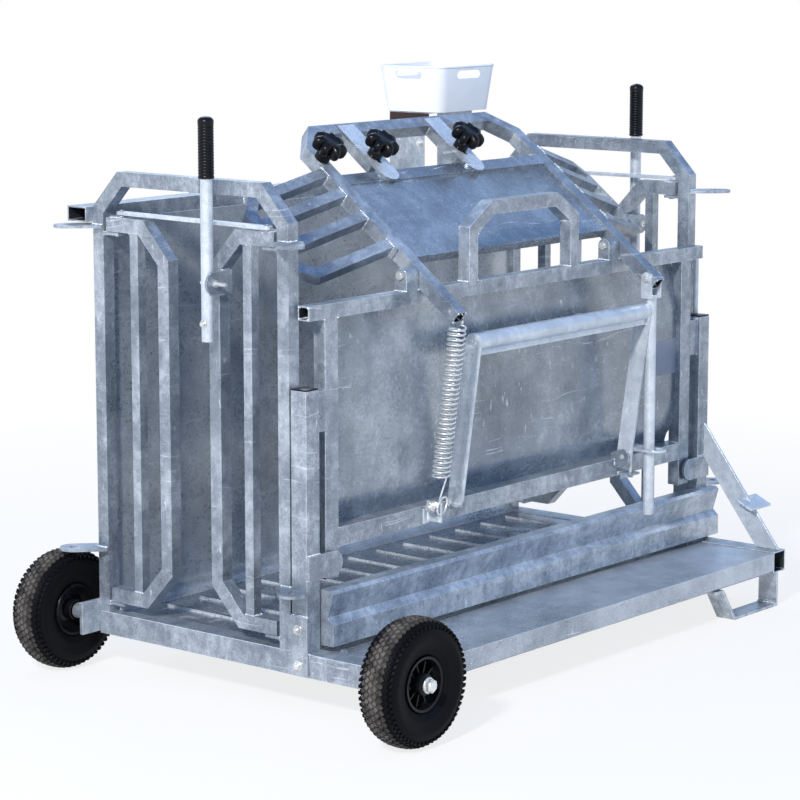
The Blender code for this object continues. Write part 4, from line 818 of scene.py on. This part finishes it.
@dataclass
class Grips:
    """Ribbed sleeves on the two levers, and the columns' caps."""

    ribs: int = 17
    groove: float = 0.0011

    def build(self, plastic: Material) -> None:
        """Turn a ribbed sleeve with a domed end for each lever."""
        for end in ("entry", "exit"):
            low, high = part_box(f"{end}_lever_grip")
            centre, radius = (low + high) / 2, (high.x - low.x) / 2
            bottom, top, bore = low.z, high.z, 0.0128
            outer = [(bore, bottom), (radius - 0.001, bottom), (radius, bottom + 0.001), (radius, bottom + 0.005)]
            first, last = bottom + 0.007, top - 0.016
            pitch = (last - first) / self.ribs
            for i in range(self.ribs):
                start = first + i * pitch
                for share, depth in ((0.0, 1.0), (0.25, 0.35), (0.4, 0.0), (0.75, 0.0), (0.9, 0.35)):
                    outer.append((radius - 0.0002 - self.groove * depth, start + pitch * share))
            dome = [(radius * math.cos(math.radians(a)), top - 0.010 + 0.010 * math.sin(math.radians(a)))
                    for a in range(0, 81, 10)]
            outer += [(radius, top - 0.014), *dome, (0.0015, top), (0.0015, top - 0.004), (bore, top - 0.004)]
            shape = turned(outer, Matrix.Translation((centre.x, centre.y, 0)), 48)
            piece = publish(shape, f"{end}_lever_sleeve", plastic, f"{end}_lever", 50.0)
            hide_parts(f"{end}_lever_grip")
            self.cap(end, plastic)
        LOG.info("grips and caps")

    def cap(self, end: str, plastic: Material) -> None:
        """Pressed-in column cap with rounded corners."""
        low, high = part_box(f"{end}_column_cap")
        shape = bmesh.new()
        add_box(shape, (low + high) / 2, high - low)
        bevel(shape, 0.0013, 3)
        piece = publish(shape, f"{end}_column_cap_moulded", plastic, "root")
        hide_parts(f"{end}_column_cap")


@dataclass
class ToolTray:
    """White tapered tray with a rolled rim and hand slots."""

    edge: float = 0.0009
    corner: float = 0.028              # radius of the mouth's corners
    lip: float = 0.0024                # radius of the rolled rim
    inset: float = 0.001               # the rim's middle inside the mouth's outline
    steps: int = 8

    def build(self, plastic: Material, steel: SteelWork) -> None:
        """Round the tray's edges and roll a rim round its mouth."""
        low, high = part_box("tray")
        piece = publish(steel.merged("tray"), "tray_moulded", plastic, "tray", 40.0)
        soften(piece, self.edge, 40.0, harden=False)
        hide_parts("tray")
        centre, half = (low + high) / 2, (high - low) / 2
        reach, points = self.corner - self.inset, []
        for turn, sx, sy in QUARTERS:
            for k in range(self.steps + 1):
                a = math.radians(turn + 90 * k / self.steps)
                points.append(Vector((centre.x + sx * (half.x - self.corner) + reach * math.cos(a),
                                      centre.y + sy * (half.y - self.corner) + reach * math.sin(a),
                                      high.z - self.lip)))
        route = [(point, points[(i + 1) % len(points)] - points[i - 1]) for i, point in enumerate(points)]
        lip = sweep(route, Vector((0, 0, 1)), self.lip, 8, closed=True)
        publish(lip, "tray_rolled_rim", plastic, "tray", 60.0)
        LOG.info("tray")


# ---------------------------------------------------------------- fasteners and small trim
@dataclass
class Fasteners:
    """Hexagon bolts, washers, hinge bushes and the blank plate on the side sheet."""

    count: int = 0
    head: float = 0.0085
    stack: tuple = ((1.28, 0.0, 0.0016, 28), (1.0, 0.0016, 0.0052, 6),
                    (0.52, 0.0068, 0.0022, 20))      # a bolt's shares of head, level, height and sides
    hood_along: tuple = (0.098, 0.205, 0.300)        # from the hood's pivot up its arms
    hood_inset: float = 0.0305                       # from the wings' tips to the arms' outer faces
    column_levels: tuple = (0.104, 0.178)
    stop_level: float = 0.785
    stop_out: float = 0.0128
    bracket_flange: float = 0.022                    # the bracket's feet beyond its legs
    bracket_level: float = 1.068
    ring_reach: tuple = (0.0130, 0.0205)             # half the anchor ring's width and height
    ring_tilt: float = 38.0
    ring_wire: float = 0.0024
    ring_steps: int = 28
    anchor_drop: float = 0.010                       # the anchor's bolt below the spring's foot
    bush_rise: float = 0.793                         # from the lower bushes to the upper ones

    def bolt(self, spot: Vector, axis: Vector, body: str, zinc: Material, scale: float = 1.0) -> None:
        """A bolt head on its washer, standing on spot and pointing along axis."""
        shape = bmesh.new()
        place = Matrix.Translation(spot) @ facing(axis) @ Matrix.Rotation(0.35 * self.count, 4, "Z")
        for radius, bottom, height, sides in self.stack:
            bmesh.ops.create_cone(shape, cap_ends=True, segments=sides, radius1=self.head * radius * scale,
                                  radius2=self.head * radius * scale * 0.97, depth=height * scale,
                                  matrix=place @ Matrix.Translation((0, 0, (bottom + height / 2) * scale)))
        bevel(shape, 0.0004 * scale, 1)
        self.count += 1
        publish(shape, f"bolt_{self.count:02d}", zinc, body, 30.0)

    def cad_bolts(self, zinc: Material, steel: SteelWork) -> None:
        """Chamfer the pivot bolts that the frame holds."""
        for node in ("hood_pivot_bolt_entry", "hood_pivot_bolt_exit", "clamp_rod_bolt", "lock_plate_bolt",
                     "entry_lever_bolt", "exit_lever_bolt"):
            piece = publish(steel.merged(node), f"{node}_plated", zinc, steel.body(node))
            soften(piece, 0.0006)
            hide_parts(node)

    def hood_bolts(self, zinc: Material) -> None:
        """Three bolts through each arm of the hood into its wing."""
        pivot = Vector(joint("hood_tilt")["pos_m"])
        slope = Vector(joint("hood_sheet_slide")["axis"]).normalized()
        low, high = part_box("hood_frame")
        for along in self.hood_along:
            for x, side in ((low.x + self.hood_inset, 1), (high.x - self.hood_inset, -1)):
                spot = Vector((x, pivot.y, pivot.z)) + slope * along
                self.bolt(spot, Vector((side, 0, 0)), "hood", zinc, 0.8)

    def post_bolts(self, zinc: Material) -> None:
        """Bolts of the columns' plates, the tray bracket, the levers' stops and the drop pin."""
        for end, side in (("entry", -1), ("exit", 1)):
            low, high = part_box(f"{end}_column")
            face = low.x if side < 0 else high.x
            for level in self.column_levels:
                self.bolt(Vector((face, (low.y + high.y) / 2, level)), Vector((side, 0, 0)), "root", zinc)
            pivot = Vector(joint(f"{end}_lever_pull")["pos_m"])
            stop = Vector((pivot.x + side * self.stop_out, pivot.y, self.stop_level))
            self.bolt(stop, Vector((side, 0, 0)), f"{end}_lever", zinc, 0.8)
        low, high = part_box("tray_bracket")
        spot = Vector((low.x + self.bracket_flange, low.y * 0.75 + high.y * 0.25, self.bracket_level))
        self.bolt(spot, Vector((-1, 0, 0)), "root", zinc)
        low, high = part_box("drop_pin")
        self.bolt(Vector(((low.x + high.x) / 2, low.y + 0.0102, 0.806)), Vector((0, -1, 0)), "root", zinc, 0.7)

    def anchor_ring(self, zinc: Material) -> None:
        """Oval ring that holds the spring's lower hook, and the bolt through its anchor."""
        foot = end_centre("hood_spring", False)
        tilt = math.radians(self.ring_tilt)
        wide, tall = self.ring_reach
        middle = foot + Vector((0.006, -0.006, -self.anchor_drop))
        route = []
        for i in range(self.ring_steps):
            a = FULL_TURN * i / self.ring_steps
            flat = Vector((wide * math.cos(a), tall * math.sin(a)))
            step = Vector((-wide * math.sin(a), tall * math.cos(a)))
            place, ahead = ((Vector((v.x * math.cos(tilt) + v.y * math.sin(tilt), 0.0,
                                     v.y * math.cos(tilt) - v.x * math.sin(tilt)))) for v in (flat, step))
            route.append((middle + place, ahead))
        shape = sweep(route, Vector((0, 1, 0)), self.ring_wire, 10, closed=True)
        publish(shape, "spring_anchor_ring", zinc, "side_panel", 60.0)
        stem = bmesh.new()
        start, end, *heads = (foot + Vector((along, 0.004, -self.anchor_drop))
                              for along in (-0.030, 0.004, -0.008, -0.020))
        add_cone(stem, start, end, 0.0048)
        publish(stem, "spring_anchor_stem", zinc, "side_panel")
        for spot in heads:
            self.bolt(spot, Vector((-1, 0, 0)), "side_panel", zinc, 1.15)

    def tray_shadow_strip(self, rubber: Material) -> None:
        """Dark brown strip along the top of the bracket's entry side, under the tray: painted shadow of the tray on
        the bracket.
        """
        # the rubber argument holds the dark brown that paints the tray's shadow
        low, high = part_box("tray_bracket")
        depth, thick, margin, leg = 0.030, 0.0012, 0.002, 0.0015
        face = low.x + self.bracket_flange - leg
        corner = Vector((face - thick - SEAT, low.y + margin, high.z - depth))
        size = Vector((thick, high.y - low.y - 2 * margin, depth - 2 * leg))
        shape = bmesh.new()
        add_box(shape, corner + size / 2, size)
        bevel(shape, 0.0004, 1)
        publish(shape, "tray_shadow_strip", rubber, "root")

    def bushes(self, plastic: Material) -> None:
        """Black bushes between the leaves' tube ends and their hinge lugs."""
        gap, lug, bore, outside = 0.0015, 0.006, 0.0063, 0.0125
        for end in ("entry", "exit"):
            for side, joint_name in (("far", f"{end}_gate_open"), ("near", f"{end}_near_leaf_open")):
                pivot = Vector(joint(joint_name)["pos_m"])
                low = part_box(f"{end}_leaf_{side}")[0].z + gap + lug + 0.003
                for level in (low, low + self.bush_rise):
                    bottom, top = level + SEAT, level + gap - 2 * SEAT
                    ring = [(bore, bottom), (outside, bottom), (outside, top), (bore, top)]
                    shape = turned(ring, Matrix.Translation((pivot.x, pivot.y, 0)), 32)
                    name = f"{end}_{side}_bush_{'low' if level == low else 'high'}"
                    publish(shape, name, plastic, "root")

    def blank_plate(self, paint: Material) -> None:
        """Plain rectangular plate near the exit end of the side sheet."""
        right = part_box("side_panel_sheet")[1].x - 0.001
        width, bottom, top, thick = 0.100, 0.540, 0.622, 0.0006
        near = min(v.co.y for v in frame["nodes"]["side_panel_sheet"].data.vertices if v.co.z < 0.70)
        shape = bmesh.new()
        centre = Vector((right - width / 2, near - thick / 2 - SEAT, (bottom + top) / 2))
        add_box(shape, centre, Vector((width, thick, top - bottom)))
        upright = [e for e in shape.edges if abs((e.verts[0].co - e.verts[1].co).y) > thick * 0.9]
        bmesh.ops.bevel(shape, geom=upright, offset=0.004, offset_type="OFFSET", affect="EDGES", segments=4,
                        profile=0.5, material=-1)
        publish(shape, "blank_plate", paint, "side_panel")

    def build(self, zinc: Material, plastic: Material, steel: SteelWork) -> None:
        """Make all the fasteners and trim."""
        self.cad_bolts(zinc, steel)
        self.hood_bolts(zinc)
        self.post_bolts(zinc)
        self.anchor_ring(zinc)
        # painted shadow: dark brown for the tray's shadow on its bracket
        brown = Moulded("tray_shadow_brown", (0.045, 0.026, 0.022, 1), (0.075, 0.050, 0.042, 1), 0.6, sheen=0.2)
        self.tray_shadow_strip(brown.make())
        self.bushes(plastic)
        self.blank_plate(Moulded("plate_paint", (0.20, 0.22, 0.27, 1), (0.32, 0.33, 0.36, 1), 0.38).make())
        LOG.info("fasteners: %d bolts", self.count)


# ---------------------------------------------------------------- studio
@dataclass
class Studio:
    """Floor, lights, world and camera."""

    camera_place: tuple = (-4.8595, -3.8605, 1.5822)
    heading: float = 39.41
    pitch: float = 9.514
    lens: float = 127.94
    sensor: float = 36.0
    aim: tuple = (0, 0, 0.6)           # the lamps' target
    floor_colour: tuple = (0.76, 0.76, 0.76, 1)
    floor_white: float = 0.80
    dome: tuple = ((0.0, (1.0, 1.0, 1.0, 1)), (0.03, (1.0, 1.0, 1.0, 1)), (0.14, (0.62, 0.80, 1.0, 1)),
                   (0.45, (0.40, 0.60, 0.98, 1)), (1.0, (0.24, 0.40, 0.76, 1)))

    def lamp(self, name: str, place: tuple, size: float, power: float, colour: tuple) -> None:
        """Add a square soft lamp that faces the crate."""
        data = bpy.data.lights.new(name, "AREA")
        data.shape, data.size, data.energy, data.color = "SQUARE", size, power, colour
        lamp = bpy.data.objects.new(name, data)
        lamp.location = place
        lamp.rotation_euler = (Vector(self.aim) - Vector(place)).to_track_quat("-Z", "Y").to_euler()
        bpy.context.scene.collection.objects.link(lamp)

    def world(self) -> None:
        """Dome that is white round the horizon and below, and blue overhead."""
        world = bpy.data.worlds.new("studio")
        bpy.context.scene.world = world
        world.use_nodes = True
        tree = world.node_tree
        coordinates = tree.nodes.new("ShaderNodeTexCoord")
        split = tree.nodes.new("ShaderNodeSeparateXYZ")
        ramp = tree.nodes.new("ShaderNodeValToRGB")
        while len(ramp.color_ramp.elements) < len(self.dome):
            ramp.color_ramp.elements.new(0.5)
        for element, (position, colour) in zip(ramp.color_ramp.elements, self.dome):
            element.position, element.color = position, colour
        for source, target in ((coordinates.outputs["Generated"], split.inputs[0]),
                               (split.outputs["Z"], ramp.inputs["Fac"]),
                               (ramp.outputs["Color"], tree.nodes["Background"].inputs["Color"])):
            tree.links.new(source, target)

    def floor(self) -> None:
        """Wide white floor that keeps the crate's soft shadow."""
        shape = bmesh.new()
        bmesh.ops.create_circle(shape, cap_ends=True, segments=96, radius=60.0)
        mesh = bpy.data.meshes.new("floor")
        shape.to_mesh(mesh)
        shape.free()
        ground = bpy.data.objects.new("floor", mesh)
        bpy.context.scene.collection.objects.link(ground)
        g = Graph("floor_paint")
        tone = g.noise(g.place(), 3.0, 3.0, 0.5)
        paint = g.feed(Base_Color=g.blend(tone, self.floor_colour, (0.80, 0.80, 0.80, 1)), Roughness=0.9,
                       Specular_IOR_Level=0.0)
        away = g.node("ShaderNodeVectorMath", {"operation": "LENGTH"}, {0: g.place()}, "Value")
        rays = [g.node("ShaderNodeLightPath", output=ray) for ray in
                ("Is Camera Ray", "Is Glossy Ray", "Is Transmission Ray")]
        seen = rays[0] + rays[1] + rays[2]
        white = away.band(1.2, 3.2, self.floor_white, 1.0) * seen.band(0.0, 1.0)
        glow = g.node("ShaderNodeEmission", None, {"Color": (1, 1, 1, 1), "Strength": 1.0})
        lit = Sock(g, g.shader.outputs[0])
        mixed = g.node("ShaderNodeMixShader", None, {0: white, 1: lit, 2: glow})
        g.tree.links.new(mixed.link, g.tree.nodes["Material Output"].inputs["Surface"])
        mesh.materials.append(paint)

    def camera(self) -> None:
        """Camera on the operator's side of the entry end, tipped down a little."""
        data = bpy.data.cameras.new("camera")
        data.lens, data.sensor_width = self.lens, self.sensor
        eye = bpy.data.objects.new("camera", data)
        eye.location = self.camera_place
        heading, pitch = math.radians(self.heading), math.radians(self.pitch)
        level = math.cos(pitch)
        forward = Vector((math.cos(heading) * level, math.sin(heading) * level, -math.sin(pitch)))
        eye.rotation_euler = forward.to_track_quat("-Z", "Y").to_euler()
        bpy.context.scene.collection.objects.link(eye)
        bpy.context.scene.camera = eye

    def build(self) -> None:
        """Set up everything that isn't the crate."""
        self.camera()
        self.world()
        self.floor()
        self.lamp("key", (-5.5, -1.9, 4.0), 0.6, 440, (1.0, 0.97, 0.93))
        self.lamp("back", (3.0, 3.6, 4.2), 2.0, 60, (0.92, 0.96, 1.0))
        bpy.context.scene.view_settings.view_transform = "Standard"
        LOG.info("studio")


def main() -> None:
    """Build the studio, then the crate's pieces in order."""
    logging.basicConfig(level=logging.INFO, format="%(name)s: %(message)s")
    Studio().build()
    zinc = Zinc().make()
    black = Moulded("black_moulded", (0.003, 0.003, 0.004, 1), (0.020, 0.020, 0.021, 1), 0.22, sheen=0.22).make()
    white = Moulded("white_moulded", (0.84, 0.84, 0.84, 1), (0.79, 0.79, 0.79, 1), 0.32, grain=500.0).make()
    steel = SteelWork()
    steel.build()
    for side in ("near", "far"):
        Wheel(side, Vector(joint(f"wheel_{side}_spin")["pos_m"]), 1 if side == "far" else -1).build(black, zinc)
    ReturnSpring().build(zinc)
    Knobs().build(black)
    Grips().build(black)
    ToolTray().build(white, steel)
    Fasteners().build(zinc, black, steel)


if __name__ == "__main__":
    main()
